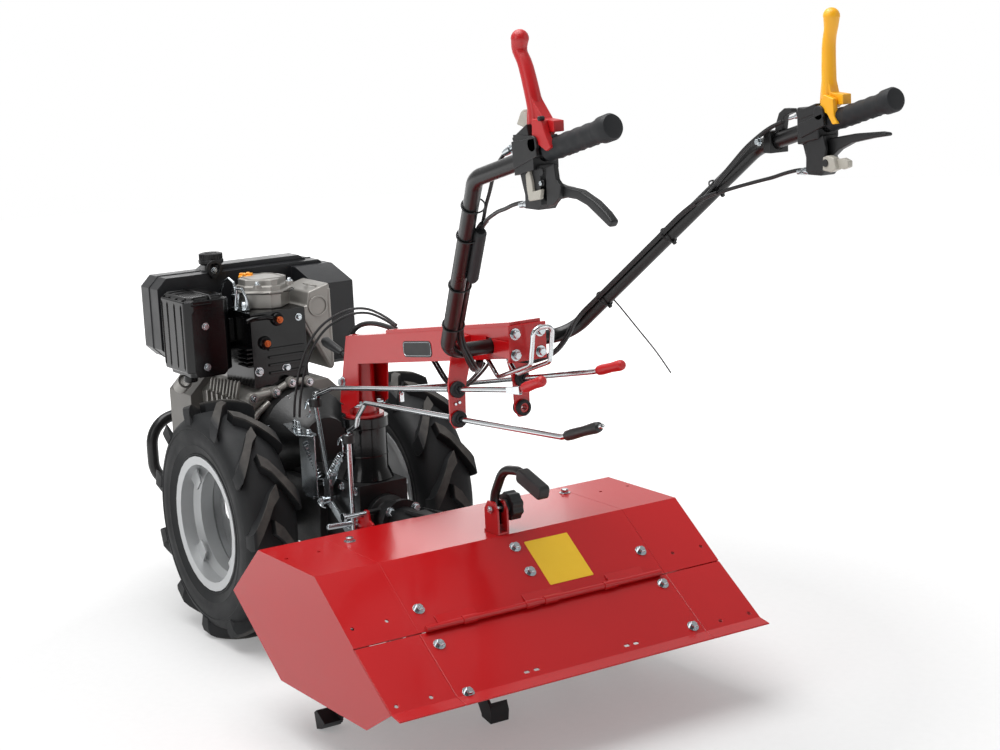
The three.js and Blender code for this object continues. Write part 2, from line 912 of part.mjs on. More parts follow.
function makeHinge() {
  const half = hood.centreWidth / 2 - 12;
  const line = (y) => v3(hingeAt.x, y, hingeAt.y);
  const rodPiece = round(line(-half), line(half), hinge.radius, hinge.radius, 12);
  const leaves = [-0.72, 0, 0.72].map((share) => {
    const y = share * half;
    const a = new THREE.Vector2(hood.hingeX, hood.hingeZ);
    a.addScaledVector(slope, -26).addScaledVector(slopeUp, gap);
    const b = hingeAt.clone().addScaledVector(slopeUp, -4);
    return side(
      [
        [a.x, a.y],
        [b.x, b.y],
        [b.x + 2 * slopeUp.x, b.y + 2 * slopeUp.y],
        [a.x + 2 * slopeUp.x, a.y + 2 * slopeUp.y],
      ],
      y - 40, y + 40,
    );
  });
  add("hood_hinge", join(rodPiece, leaves), paint.red);
}

function makeFlap() {
  const half = hood.centreWidth / 2;
  const outer = hood.width / 2;
  const top = new THREE.Vector2(hood.hingeX, hood.hingeZ).addScaledVector(slope, 2);
  const line = [
    [top.x, top.y],
    [hood.lipX, hood.lipZ],
    [hood.lipX - hood.lip, hood.lipZ - 5],
  ];
  add("flap_centre", foldedSheet(line, sheet, -half, half), paint.red);
  add("flap_left", foldedSheet(line, sheet, half + gap, outer), paint.red);
  add("flap_right", foldedSheet(line, sheet, -outer, -half - gap), paint.red);
}

// ---- depth control on the hood ----
function makeDepthControl() {
  const base = hood.top + gap;
  const x = -726;
  const boltZ = base + 46;
  const earShape = [
    [x - 18, base],
    [x + 26, base],
    [x + 26, base + 44],
    [x + 14, base + 60],
    [x - 8, base + 60],
    [x - 18, base + 44],
  ];
  const ears = [-12, 8].map((y) => side(earShape, y, y + 4));
  const foot = box(x - 18, x + 30, -12, 12, base, base + 4);
  const hole = round(v3(x, -20, boltZ), v3(x, 0, boltZ), 4 + gap, 4 + gap, 10);
  add("depth_ears", cut(join(ears, foot), hole), paint.red);
  const arm = bentBar(
    [
      v3(x + 4, 0, base + 20),
      v3(x + 10, 0, base + 66),
      v3(x - 26, 0, base + 122),
      v3(x - 82, 0, base + 130),
      v3(x - 142, 0, base + 112),
    ],
    7.5, 42, 8,
  );
  const grip = round(v3(x - 96, 0, base + 126), v3(x - 148, 0, base + 110), 9, 12, 12);
  const bolt = round(v3(x, -34, boltZ), v3(x, 7.5, boltZ), 4, 4, 10);
  const knob = round(v3(x, -44, boltZ), v3(x, -18, boltZ), 21, 21, 12);
  add("depth_lever", join(arm, grip, bolt, knob), paint.plastic);
}

// ---- handlebar beam ----
const beamTop = (x) => beam.frontTop + (beam.frontX - x) * beam.slope;

function makeBeam() {
  const b = beam;
  const low = (x) => beamTop(x) - b.height;
  const shape = [
    [b.frontX, b.frontTop],
    [b.legFront, b.legTip + 12],
    [(b.legFront + b.legRear) / 2, b.legTip],
    [b.legRear, b.legTip + 18],
    [b.legRear - 10, low(b.legRear - 10)],
    [b.rearX, low(b.rearX)],
    [b.rearX, beamTop(b.rearX)],
  ];
  const inner = [
    [b.frontX - sheet, b.frontTop - sheet],
    [b.legFront - sheet, b.legTip + 10],
    [b.legFront - sheet, b.legTip - 30],
    [b.legRear - 60, b.legTip - 30],
    [b.rearX - 20, low(b.rearX) - 60],
    [b.rearX - 20, beamTop(b.rearX - 20) - sheet],
  ];
  const channel = cut(
    side(shape, -b.halfWidth, b.halfWidth),
    side(inner, -b.halfWidth + sheet, b.halfWidth - sheet),
  );
  const lid = side(
    [
      [b.lidFront, beamTop(b.lidFront) - 1],
      [b.lidFront, beamTop(b.lidFront) + b.lidHeight],
      [b.rearX, beamTop(b.rearX) + b.lidHeight],
      [b.rearX, beamTop(b.rearX) - 1],
    ],
    -b.halfWidth + sheet, b.halfWidth - sheet,
  );
  const discTop = column.top + gap + disc.thickness;
  const plate = round(
    v3(column.x, 0, column.top + gap), v3(column.x, 0, discTop), disc.radius, disc.radius, 32,
  );
  const boss = round(v3(column.x, 0, discTop - 1), v3(column.x, 0, b.frontTop - 4), 24, 24, 20);
  const web = box(b.legFront - 2, column.x, -b.halfWidth + 1, b.halfWidth - 1, discTop - 1, discTop + 16);
  const seat = pivot.radius + gap;
  const slot = box(b.rearX - 10, pivot.x + seat, -60, 60, pivot.z - seat, pivot.z + seat);
  add("handlebar_beam", join(cut(join(channel, lid, web), slot), plate, boss), paint.red);
}

// The plate over the beam's rear end, with the jaw that holds the handlebar in the beam's slot.
function makeClamp() {
  const c = clamp;
  const front = beam.rearX - gap;
  const plate = box(front - c.plate, front, -c.halfWidth, c.halfWidth, c.bottom, c.top);
  const jaw = box(
    front - 1, pivot.x - 6, -c.jawHalf, c.jawHalf, pivot.z - pivot.radius, pivot.z + pivot.radius,
  );
  const seat = pivot.radius + gap;
  const bore = round(v3(pivot.x, -60, pivot.z), v3(pivot.x, 60, pivot.z), seat, seat, 24);
  add("handlebar_clamp", join(plate, cut(jaw, bore)), paint.red);
}

// The wire handle under the clamp, hung on a pin between the beam's walls.
function makeLoop() {
  const pinZ = beamTop(loop.pinX) - beam.height + loop.wire + 3;
  const sidePoints = [
    v3(loop.pinX, loop.half, pinZ),
    v3(loop.elbowX, loop.half, loop.elbowZ),
    v3(loop.cornerX, loop.half, loop.cornerZ),
    v3(loop.topX, loop.half, loop.topZ),
  ];
  const wire = bentBar([...sidePoints, ...mirrorY(sidePoints).reverse()], loop.wire, 11, 8, 2);
  const reach = beam.halfWidth - sheet - gap;
  const pin = round(v3(loop.pinX, -reach, pinZ), v3(loop.pinX, reach, pinZ), 4.5, 4.5, 10);
  add("release_loop", join(wire, pin), paint.chrome);
}

function makeGuides() {
  const g = guide;
  const w = beam.halfWidth + gap;
  [["left", 1], ["right", -1]].forEach(([name, way]) => {
    const points = [
      [w, 668],
      [w, 706],
      [72, 702],
      [g.y + 17, g.upper + 10],
      [g.y + 16, g.lower - 4],
      [g.y + 8, g.lower - 17],
      [g.y - 8, g.lower - 17],
      [g.y - 16, g.lower - 4],
      [g.y - 18, g.upper],
    ].map(([y, z]) => [way * y, z]);
    const plate = across(points, g.x - g.thickness / 2, g.x + g.thickness / 2);
    const flange = box(
      g.x - g.thickness / 2, g.x + 24,
      Math.min(way * w, way * (w + 3)), Math.max(way * w, way * (w + 3)),
      668, 706,
    );
    const bushes = [g.upper, g.lower].map((z) =>
      round(v3(g.x - 8, way * g.y, z), v3(g.x + 8, way * g.y, z), g.bush, g.bush, 20),
    );
    const bores = [
      [g.upper, way > 0 ? rodSlope.shift : rodSlope.speed],
      [g.lower, rodSlope.drive],
    ].map(([z, rise]) => {
      const end = (d) => v3(g.x - d, way * g.y, z + rise * d);
      return round(end(-20), end(20), rod.radius + rod.clearance, rod.radius + rod.clearance, 16);
    });
    add("rod_guide_" + name, cut(join(plate, flange, bushes), bores), paint.red);
  });
}

// A rod and the handle at its rear end, which carries on in a straight line from the rod.
function makeRod(name, places, tip, finish) {
  const last = places[places.length - 1];
  const way = tip.clone().sub(last).normalize();
  const end = last.clone().addScaledVector(way, 14);
  add(name + "_rod", bentBar([...places, end], rod.radius, 14), paint.chrome);
  const start = end.clone().addScaledVector(way, gap);
  const nose = tip.clone().addScaledVector(way, -6);
  const body = join(
    round(start, nose, rod.handle - 1.5, rod.handle, 12),
    round(nose.clone().addScaledVector(way, -1), tip, rod.handle, rod.handle - 4, 12),
  );
  add(name + "_handle", body, finish);
}

// Where a rod is at x, on its straight run through the guide.
function throughGuide(x, way, height, rise) {
  return v3(x, way * guide.y, height + rise * (guide.x - x));
}

function makeRods() {
  const y = guide.y;
  const { first, second } = upright;
  const { upper, lower } = guide;
  const restOn = uprightHead + rod.radius + gap;
  const shift = [
    v3(first.x - 4, y, first.top + restOn),
    throughGuide(-240, 1, upper, rodSlope.shift),
    throughGuide(-925, 1, upper, rodSlope.shift),
  ];
  makeRod("shift", shift, v3(-1000, y, 669), paint.redPlastic);
  const drive = [
    v3(second.x - 3, y, second.top + restOn),
    v3(-330, y, 494),
    throughGuide(-374, 1, lower, rodSlope.drive),
    throughGuide(-1048, 1, lower, rodSlope.drive),
  ];
  makeRod("drive", drive, v3(-1158, y, 616), paint.plastic);
  const speed = [
    v3(-272, -y, 500),
    throughGuide(-272, -1, upper, rodSlope.speed),
    throughGuide(-950, -1, upper, rodSlope.speed),
  ];
  makeRod("speed", speed, v3(-1036, -y, 681), paint.redPlastic);
}

// ---- handlebar ----
const gripWay = gripEnd.clone().sub(upperBend).normalize();
const onGrip = (d) => gripEnd.clone().addScaledVector(gripWay, -d);

function makeHandlebar() {
  const reach = beam.halfWidth;
  const middle = (y) => v3(pivot.x, y, pivot.z);
  const sleeve = round(middle(-reach), middle(reach), pivot.radius, pivot.radius, 24);
  const half = [middle(0), middle(reach + 16), elbow, upperBend, onGrip(6)];
  const left = bentBar(half, bar.radius, bar.bend, 12, 5);
  const right = bentBar(mirrorY(half), bar.radius, bar.bend, 12, 5);
  add("handlebar_tube", join(sleeve, left, right), paint.black);
}

function makeGrips() {
  [["left", 1], ["right", -1]].forEach(([name, way]) => {
    const at = (d) => v3(onGrip(d).x, way * onGrip(d).y, onGrip(d).z);
    const body = join(
      round(at(bar.gripLength), at(18), bar.grip - 1, bar.grip, 12),
      round(at(30), at(5), bar.grip + 1, bar.grip + 3, 12),
      round(at(5.5), at(0), bar.grip + 3, bar.grip - 1, 12),
    );
    const bore = round(at(bar.gripLength + 2), at(5.5), bar.radius + gap, bar.radius + gap, 20);
    add("grip_" + name, cut(body, bore), paint.plastic);
  });
}

// The lever bracket clamped round the bar in front of each grip.
const bracket = {
  rear: onGrip(bar.gripLength + 10),
  front: onGrip(bar.gripLength + 62),
  rise: 24, // of its flat top over the bar
  drop: 83, // of its lower end under the bar
  stemBack: 6, // of the stem's rear face behind the block
};
const bracketTop = bracket.rear.z + bracket.rise;
// Where the cable leaves the foot of the bracket's stem.
const cableSeat = { x: bracket.rear.x + 36, z: bracket.rear.z - bracket.drop + 6 };

function makeBrackets() {
  const { rear, front, drop, stemBack } = bracket;
  [["left", 1], ["right", -1]].forEach(([name, way]) => {
    const y = way * rear.y;
    const block = side(
      [
        [rear.x, rear.z - 24],
        [rear.x, bracketTop],
        [front.x, bracketTop],
        [front.x, front.z - 22],
      ],
      y - 22, y + 22,
    );
    const stem = side(
      [
        [rear.x - stemBack, rear.z - 18],
        [rear.x - stemBack, rear.z - drop + 8],
        [rear.x + 2, rear.z - drop],
        [cableSeat.x, rear.z - drop],
        [cableSeat.x, rear.z - drop + 20],
        [front.x - 4, front.z - 20],
      ],
      y - 15, y + 15,
    );
    const end = (d) => {
      const p = onGrip(bar.gripLength + d);
      return v3(p.x, way * p.y, p.z);
    };
    const bore = round(end(-20), end(90), bar.radius + gap, bar.radius + gap, 20);
    add("lever_bracket_" + name, cut(join(block, stem), bore), paint.plastic);
  });
}

// The tall hand levers: red on the left, leaning forwards, and yellow on the right.
// Foot, waist and top are places along X from the bracket's rear.
function makeHandLevers() {
  const shape = (foot, waist, top, height) => [
    [foot + 27, 0],
    [waist + 24, 0],
    [waist + 24, 8],
    [waist + 18, 36],
    [top + 17, height - 8],
    [top + 14, height - 2],
    [top + 5, height],
    [top, height - 7],
    [(waist + top) / 2 + 9, 95],
    [waist * 0.7 + top * 0.3 + 7, 62],
    [waist + 3, 40],
    [foot + 27, 24],
    [foot, 22],
    [foot, 6],
    [foot + 20, 5],
  ];
  const lever = (way, ...places) => {
    const points = shape(...places).map(([x, z]) => [bracket.rear.x + x, bracketTop + gap + z]);
    return side(points, way * bracket.rear.y - 9, way * bracket.rear.y + 9);
  };
  add("lever_red", lever(1, -37, 10, 46, 151), paint.redPlastic);
  add("lever_yellow", lever(-1, -44, -14, -19, 156), paint.yellow);
}

// The levers under the grips, which are set against the rear faces of the bracket stems.
function makeBrakeLevers() {
  const { rear, stemBack } = bracket;
  const x = rear.x - stemBack - gap;
  const low = [
    [0, -38],
    [-40, -46],
    [-83, -49],
    [-120, -62],
    [-145, -76],
    [-160, -88],
    [-153, -97],
    [-128, -84],
    [-101, -70],
    [-75, -63],
    [-49, -62],
    [-28, -66],
    [0, -72],
  ];
  const high = [
    [0, -24],
    [-60, -14],
    [-116, -9],
    [-131, -10],
    [-132, -15],
    [-98, -20],
    [-52, -29],
    [-23, -41],
    [0, -58],
  ];
  const lever = (shape, way) => {
    const points = shape.map(([dx, dz]) => [x + dx, rear.z + dz]).reverse();
    return side(points, way * rear.y - 7, way * rear.y + 7);
  };
  add("brake_lever_left", lever(low, 1), paint.plastic);
  add("brake_lever_right", lever(high, -1), paint.plastic);
}

function makeThrottle() {
  const place = bar.gripLength + 149; // from the grip's end
  const at = onGrip(place);
  const y = -at.y;
  const ring = box(at.x - 9, at.x + 9, y - 19, y + 19, at.z - 18, at.z + 18);
  const lever = side(
    [
      [-4, 14],
      [-8, 30],
      [-16, 47],
      [-29, 55],
      [-47, 55],
      [-48, 49],
      [-36, 45],
      [-28, 42],
      [-24, 22],
      [-20, 12],
      [-8, 10],
    ].map(([dx, dz]) => [at.x + dx, at.z + dz]),
    y - 6, y + 6,
  );
  const [rear, front] = mirrorY([onGrip(place - 30), onGrip(place + 14)]);
  const hole = bar.radius + gap + 1.3; // wide enough for the start of the bar's bend
  const bore = round(rear, front, hole, hole, 20);
  add("throttle_lever", cut(join(ring, lever), bore), paint.plastic);
}

// ---- control cables ----
// Each is one tube in place of the bundle. The points are chosen by hand.
const cable = { radius: 4.5, sides: 8 };

function makeCables() {
  const front = [
    v3(beam.lidFront + gap, 6, 678.5),
    v3(-372, 7, 688),
    v3(-338, 9, 695),
    v3(-305, 11, 698.5),
    v3(-272, 15, 697),
    v3(-242, 20, 691),
    v3(-214, 28, 681),
    v3(-188, 38, 667),
    v3(-170, 46, 653),
    v3(-155, 53, 637),
    v3(-142, 59, 619),
    v3(-131, 64, 600),
    v3(-122, 69, 577),
    v3(-113, 74, 550),
    v3(-107, 77, 523),
    v3(-102, 80, 496),
    v3(-99, 82, 464),
  ];
  add("cables_front", tube(front, cable.radius, cable.sides), paint.plastic);
  const left = [
    v3(-1265, 269, 1004),
    v3(-1240, 269, 999),
    v3(-1213, 266, 991),
    v3(-1187, 261, 985),
    v3(-1160, 254, 977),
    v3(-1128, 244, 967),
    v3(-1100, 233, 956),
    v3(-1070, 221, 945),
  ];
  const right = [
    v3(-1265, 269, 1004),
    v3(-1235, 266, 998),
    v3(-1205, 261, 989),
    v3(-1177, 255, 982),
    v3(-1150, 248, 975),
    v3(-1129, 241, 969),
    v3(-1101, 231, 960),
    v3(-1069, 220, 947),
  ];
  const down = [
    v3(-1028, 207.5, 919),
    v3(-986.6, 190.4, 879.7),
    v3(-944.7, 173.3, 840.2),
    v3(-902.9, 156.1, 800.8),
    v3(-861.1, 139, 761.3),
    v3(-836, 128, 737),
    v3(-823, 118, 716),
    v3(-818, 106, 694),
    v3(-810, 93, 675),
    v3(-798, 80, 662),
    v3(-784, 68, 655),
    v3(-772, 58, 651),
  ];
  const start = v3(cableSeat.x + gap, bracket.rear.y, cableSeat.z);
  add("cables_left", tube([start, ...left, ...down], cable.radius, cable.sides), paint.plastic);
  const rightRun = mirrorY([start, ...right, ...down]);
  add("cables_right", tube(rightRun, cable.radius, cable.sides), paint.plastic);
}

// ---- assembly ----
[["left", 1], ["right", -1]].forEach(([name, way]) => {
  const y = (way * wheel.track) / 2;
  makeTyre("tyre_" + name, y);
  makeRim("rim_" + name, y);
  makeAxle("axle_" + name, y);
});
makeGearbox();
makeColumn();
makeCrankcase();
makeFanHousing();
makeCylinder();
makeRockerCover();
makeAirDuct();
makeTank();
makeCap();
makeMuffler();
makeGuard();
makeUprights();
makeLinkage();
makeCableBracket();
makeCoupling();
makeDriveCase();
makeDriveBracket();
makeRotorHalf("rotor_left", 1, 0);
makeRotorHalf("rotor_right", -1, -1);
makeHood();
makeHinge();
makeFlap();
makeDepthControl();
makeBeam();
makeClamp();
makeLoop();
makeGuides();
makeRods();
makeHandlebar();
makeGrips();
makeBrackets();
makeHandLevers();
makeBrakeLevers();
makeThrottle();
makeCables();

const bounds = new THREE.Box3().setFromObject(tractor);
const middle = bounds.getCenter(v3(0, 0, 0));
tractor.position.set(-middle.x, -middle.y, -bounds.min.z);

export default tractor;
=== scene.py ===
import math

import bmesh
import bpy
from mathutils import Matrix, Vector


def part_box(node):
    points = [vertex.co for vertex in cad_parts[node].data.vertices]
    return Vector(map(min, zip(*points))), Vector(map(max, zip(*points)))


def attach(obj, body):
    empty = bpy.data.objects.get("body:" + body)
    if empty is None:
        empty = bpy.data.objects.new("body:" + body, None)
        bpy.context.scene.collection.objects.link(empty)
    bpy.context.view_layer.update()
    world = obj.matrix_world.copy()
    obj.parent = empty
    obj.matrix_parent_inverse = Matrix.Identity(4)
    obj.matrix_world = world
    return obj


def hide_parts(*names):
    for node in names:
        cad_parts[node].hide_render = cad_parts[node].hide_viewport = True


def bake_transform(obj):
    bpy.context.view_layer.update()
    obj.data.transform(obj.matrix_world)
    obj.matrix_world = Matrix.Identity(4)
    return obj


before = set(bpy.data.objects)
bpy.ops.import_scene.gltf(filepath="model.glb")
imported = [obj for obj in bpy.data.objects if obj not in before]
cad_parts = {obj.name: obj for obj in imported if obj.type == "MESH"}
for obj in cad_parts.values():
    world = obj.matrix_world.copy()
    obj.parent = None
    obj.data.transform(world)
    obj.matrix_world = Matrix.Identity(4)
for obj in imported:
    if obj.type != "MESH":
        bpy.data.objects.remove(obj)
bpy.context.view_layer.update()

# ---- Camera ----
# A long lens on a tripod behind the machine's left handle, a little above the handlebar
# and turned a few degrees on its own axis.
camera_data = bpy.data.cameras.new("studio_camera")
camera_data.sensor_width = 36
camera_data.lens = 72.73
camera = bpy.data.objects.new("studio_camera", camera_data)
bpy.context.scene.collection.objects.link(camera)
bearing = math.radians(237.698)
rise = math.radians(11.196)
roll = math.radians(-2.668)
back = Vector((math.sin(bearing) * math.cos(rise), -math.cos(bearing) * math.cos(rise), math.sin(rise)))
level_right = Vector((0, 0, 1)).cross(back).normalized()
level_up = back.cross(level_right)
right = math.cos(roll) * level_right + math.sin(roll) * level_up
up = math.cos(roll) * level_up - math.sin(roll) * level_right
camera_place = Matrix.Translation((-3.2565, 1.8931, 1.3347))
camera.matrix_world = camera_place @ Matrix((right, up, back)).transposed().to_4x4()
bpy.context.scene.camera = camera


# ---- Studio ----
# A seamless white floor with a painted glow, faint near the machine and white far out, white walls
# all round, and large soft lights above and beside the machine that leave long even reflections in the
# paint.
def linear(code):
    """An sRGB hex colour as the linear colour that a socket takes."""
    parts = [int(code[i : i + 2], 16) / 255 for i in (1, 3, 5)]
    return [c / 12.92 if c <= 0.04045 else ((c + 0.055) / 1.055) ** 2.4 for c in parts] + [1]


def add_node(material, kind, inputs=None, **settings):
    """Adds a node, sets its properties, and gives each input a value or another node's output."""
    node = material.node_tree.nodes.new(kind)
    for name, value in settings.items():
        setattr(node, name, value)
    for key, value in (inputs or {}).items():
        if isinstance(value, bpy.types.NodeSocket):
            material.node_tree.links.new(value, node.inputs[key])
        else:
            node.inputs[key].default_value = value
    return node


def start_material(name, sockets):
    """A material with those values on its shader's own sockets, and the object's own space."""
    material = bpy.data.materials.new(name)
    material.use_nodes = True
    shader = material.node_tree.nodes["Principled BSDF"]
    for socket, value in sockets.items():
        shader.inputs[socket].default_value = value
    space = add_node(material, "ShaderNodeTexCoord").outputs["Object"]
    return material, shader, space


def seamless_paper():
    """Matt white background paper with a faint tooth and a painted glow: it emits light, faint near the
    machine and full white far out.
    """
    material, shader, space = start_material("seamless_paper", {
        "Roughness": 0.9, "IOR": 1.5, "Emission Color": linear("#ffffff"),
    })
    distance = add_node(material, "ShaderNodeVectorMath", {0: space}, operation="LENGTH")
    # Painted light: the paper glows, 0.26 near the middle rising to 1.0 from 2.6 m out, which whitens the
    # shadows on it.
    painted_floor_glow = add_node(material, "ShaderNodeMapRange", {
        "Value": distance.outputs["Value"], "From Min": 0.9, "From Max": 2.6, "To Min": 0.26,
        "To Max": 1.0,
    })
    material.node_tree.links.new(painted_floor_glow.outputs["Result"], shader.inputs["Emission Strength"])
    tooth = add_node(material, "ShaderNodeTexNoise", {"Vector": space, "Scale": 60.0})
    tint = add_node(material, "ShaderNodeMixRGB", {
        "Fac": tooth.outputs["Fac"], "Color1": linear("#c4c4c4"), "Color2": linear("#c9c9c9"),
    })
    material.node_tree.links.new(tint.outputs["Color"], shader.inputs["Base Color"])
    return material


floor_radius = 9
floor_mesh = bpy.data.meshes.new("studio_floor")
floor_mesh.from_pydata(
    [
        (floor_radius * math.cos(k * math.pi / 32), floor_radius * math.sin(k * math.pi / 32), 0)
        for k in range(64)
    ],
    [], [tuple(range(64))],
)
floor = bpy.data.objects.new("studio_floor", floor_mesh)
floor_mesh.materials.append(seamless_paper())
bpy.context.scene.collection.objects.link(floor)

world = bpy.data.worlds.new("studio_walls")
world.use_nodes = True
walls = world.node_tree.nodes["Background"]
walls.inputs["Color"].default_value = linear("#ffffff")
# The walls are bright beyond the machine and dark behind the camera, but the backdrop is white.
looking = add_node(world, "ShaderNodeTexCoord").outputs["Generated"]
towards_backdrop = add_node(
    world, "ShaderNodeVectorMath", {0: looking, 1: (0.82, -0.5, 0.1)}, operation="DOT_PRODUCT",
)
wall_light = add_node(world, "ShaderNodeMapRange", {
    "Value": towards_backdrop.outputs["Value"], "From Min": -0.7, "From Max": 0.8, "To Min": 0.12,
    "To Max": 0.66,
})
seen = add_node(world, "ShaderNodeLightPath")
brightness = add_node(world, "ShaderNodeMapRange", {
    "Value": seen.outputs["Is Camera Ray"], "To Min": wall_light.outputs["Result"], "To Max": 1.0,
})
world.node_tree.links.new(brightness.outputs["Result"], walls.inputs["Strength"])
bpy.context.scene.world = world
bpy.context.scene.view_settings.view_transform = "Standard"


def softbox(name, place, target, width, height, watts):
    """A rectangular area light that faces its target."""
    data = bpy.data.lights.new(name, "AREA")
    data.shape = "RECTANGLE"
    data.size = width
    data.size_y = height
    data.energy = watts
    light = bpy.data.objects.new(name, data)
    light.location = place
    light.rotation_mode = "QUATERNION"
    light.rotation_quaternion = (Vector(target) - Vector(place)).to_track_quat("-Z", "Y")
    bpy.context.scene.collection.objects.link(light)


softbox("overhead_softbox", (0.2, 0.6, 3.6), (0, 0, 0.3), 3.4, 2.6, 135)
softbox("left_softbox", (-0.8, 3.6, 2.0), (0, 0, 0.5), 1.4, 2.2, 24)
softbox("front_softbox", (4.2, -1.6, 1.2), (0, 0, 0.5), 2.6, 2.0, 20)
softbox("rear_softbox", (-3.6, -2.2, 2.2), (-0.4, 0, 0.4), 1.0, 1.8, 10)


# ---- Wheels ----
# Two pneumatic drive wheels: black rubber farm tyres with chevron lugs, on silver-enamelled
# pressed-steel rims that are bolted to the half shafts' flanges.
axle_low, axle_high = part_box("axle_left")
axle_x = (axle_low.x + axle_high.x) / 2
tyre_radius = 250
hub_height = tyre_radius
half_track = 207


def at(x, y, z):
    """The place x mm ahead of the wheel axle, y mm left of the middle and z mm above the floor."""
    return Vector((axle_x + x / 1000, y / 1000, z / 1000))


def frame_along(axis):
    """Two directions square to an axis and to each other."""
    axis = Vector(axis).normalized()
    first = axis.orthogonal().normalized()
    if abs(axis.z) < 0.9:
        first = Vector((0, 0, 1)).cross(axis).normalized()
    return first, axis.cross(first)


def turned(profile, place, axis, sides=48, ring=False):
    """A shape turned about an axis. The profile is (mm along, mm out), closed on itself for a ring."""
    first, second = frame_along(axis)
    along = Vector(axis).normalized()
    verts, faces = [], []
    for distance, radius in profile:
        for k in range(sides):
            angle = 2 * math.pi * k / sides
            out = (first * math.cos(angle) + second * math.sin(angle)) * radius / 1000
            verts.append(place + along * distance / 1000 + out)
    rows = len(profile)
    for row in range(rows if ring else rows - 1):
        after = (row + 1) % rows
        for k in range(sides):
            n = (k + 1) % sides
            faces.append((row * sides + k, row * sides + n, after * sides + n, after * sides + k))
    return verts, faces


def piece(name, body, shapes, finish, round_edge=0, stands_for=()):
    """One named object made of closed shapes, riding on a body, with its finish."""
    bm = bmesh.new()
    for verts, faces in shapes:
        made = [bm.verts.new(v) for v in verts]
        for face in faces:
            bm.faces.new([made[i] for i in face])
        bmesh.ops.remove_doubles(bm, verts=made, dist=1e-6)
    bmesh.ops.recalc_face_normals(bm, faces=bm.faces)
    mesh = bpy.data.meshes.new(name)
    bm.to_mesh(mesh)
    bm.free()
    mesh.shade_smooth()
    mesh.set_sharp_from_angle(angle=math.radians(36))
    mesh.materials.append(finish)
    made = bpy.data.objects.new(name, mesh)
    bpy.context.scene.collection.objects.link(made)
    if round_edge:
        soften(made, round_edge)
    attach(made, body)
    if stands_for:
        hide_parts(*stands_for)
    return made


def soften(thing, width, angle=36, segments=2):
    """Rounds an object's edges to that radius in mm."""
    bevel = thing.modifiers.new("rounded_edges", "BEVEL")
    bevel.width = width / 1000
    bevel.segments = segments
    bevel.limit_method = "ANGLE"
    bevel.angle_limit = math.radians(angle)
    bevel.harden_normals = True


def keep(node, finish, round_edge=0, angle=36, drilled_by=None):
    """A CAD node that stays, with its finish, its edges rounded as in the real piece, and its holes."""
    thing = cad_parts[node]
    thing.data.materials.clear()
    thing.data.materials.append(finish)
    for polygon in thing.data.polygons:
        polygon.use_smooth = True
    weld = thing.modifiers.new("welded_faces", "WELD")
    weld.merge_threshold = 1e-6
    flat_faces = thing.modifiers.new("whole_faces", "DECIMATE")
    flat_faces.decimate_type = "DISSOLVE"
    flat_faces.angle_limit = math.radians(0.5)
    if drilled_by:
        bore = thing.modifiers.new("drilled_holes", "BOOLEAN")
        bore.operation = "DIFFERENCE"
        bore.solver = "EXACT"
        bore.object = drilled_by
    if round_edge:
        soften(thing, round_edge, angle)
    weighted = thing.modifiers.new("face_normals", "WEIGHTED_NORMAL")
    weighted.keep_sharp = True
    return thing


def weathered(material, shader, space, colours, patch_mm, roughness, grain_mm, depth_mm):
    """Drifts a finish between two colours and two roughnesses over patches, with a fine relief."""
    patches = add_node(material, "ShaderNodeTexNoise", {
        "Vector": space, "Scale": 1000 / patch_mm, "Detail": 4.0, "Roughness": 0.6,
    })
    tint = add_node(material, "ShaderNodeMixRGB", {
        "Fac": patches.outputs["Fac"], "Color1": linear(colours[0]), "Color2": linear(colours[1]),
    })
    sheen = add_node(material, "ShaderNodeMapRange", {
        "Value": patches.outputs["Fac"], "From Min": 0.3, "From Max": 0.7,
        "To Min": roughness[0], "To Max": roughness[1],
    })
    grain = add_node(material, "ShaderNodeTexNoise", {
        "Vector": space, "Scale": 1000 / grain_mm, "Detail": 3.0, "Roughness": 0.5,
    })
    relief = add_node(material, "ShaderNodeBump", {
        "Height": grain.outputs["Fac"], "Distance": depth_mm / 1000, "Strength": 1.0,
    })
    links = material.node_tree.links
    links.new(tint.outputs["Color"], shader.inputs["Base Color"])
    links.new(sheen.outputs["Result"], shader.inputs["Roughness"])
    links.new(relief.outputs["Normal"], shader.inputs["Normal"])
    return tint


def weathered_material(name, sockets, *wear):
    """A new material with those values on its sockets, weathered in that way."""
    material, shader, space = start_material(name, sockets)
    weathered(material, shader, space, *wear)
    return material


def tyre_rubber():
    """Moulded black rubber: dull, with a grey bloom of dust and faint mould grain."""
    material, shader, space = start_material("tyre_rubber", {"IOR": 1.52, "Specular IOR Level": 0.35})
    tint = weathered(material, shader, space, ("#111214", "#191b1d"), 70, (0.55, 0.72), 2.5, 0.25)
    # The tops of the lugs, farthest from the axle, are scuffed paler.
    from_axle = add_node(material, "ShaderNodeVectorMath", {
        0: space, 1: (axle_x, 0, hub_height / 1000),
    }, operation="SUBTRACT")
    in_wheel = add_node(material, "ShaderNodeVectorMath", {
        0: from_axle.outputs["Vector"], 1: (1, 0, 1),
    }, operation="MULTIPLY")
    reach = add_node(
        material, "ShaderNodeVectorMath", {0: in_wheel.outputs["Vector"]}, operation="LENGTH",
    )
    scuff = add_node(material, "ShaderNodeMapRange", {
        "Value": reach.outputs["Value"], "From Min": 0.2435, "From Max": 0.248, "To Min": 0.0,
        "To Max": 0.75,
    })
    blotches = add_node(material, "ShaderNodeTexNoise", {"Vector": space, "Scale": 38.0, "Detail": 5.0})
    patchy = add_node(material, "ShaderNodeMath", {
        0: scuff.outputs["Result"], 1: blotches.outputs["Fac"],
    }, operation="MULTIPLY")
    worn = add_node(material, "ShaderNodeMixRGB", {
        "Fac": patchy.outputs["Value"], "Color1": tint.outputs["Color"], "Color2": linear("#625e59"),
    })
    material.node_tree.links.new(worn.outputs["Color"], shader.inputs["Base Color"])
    return material


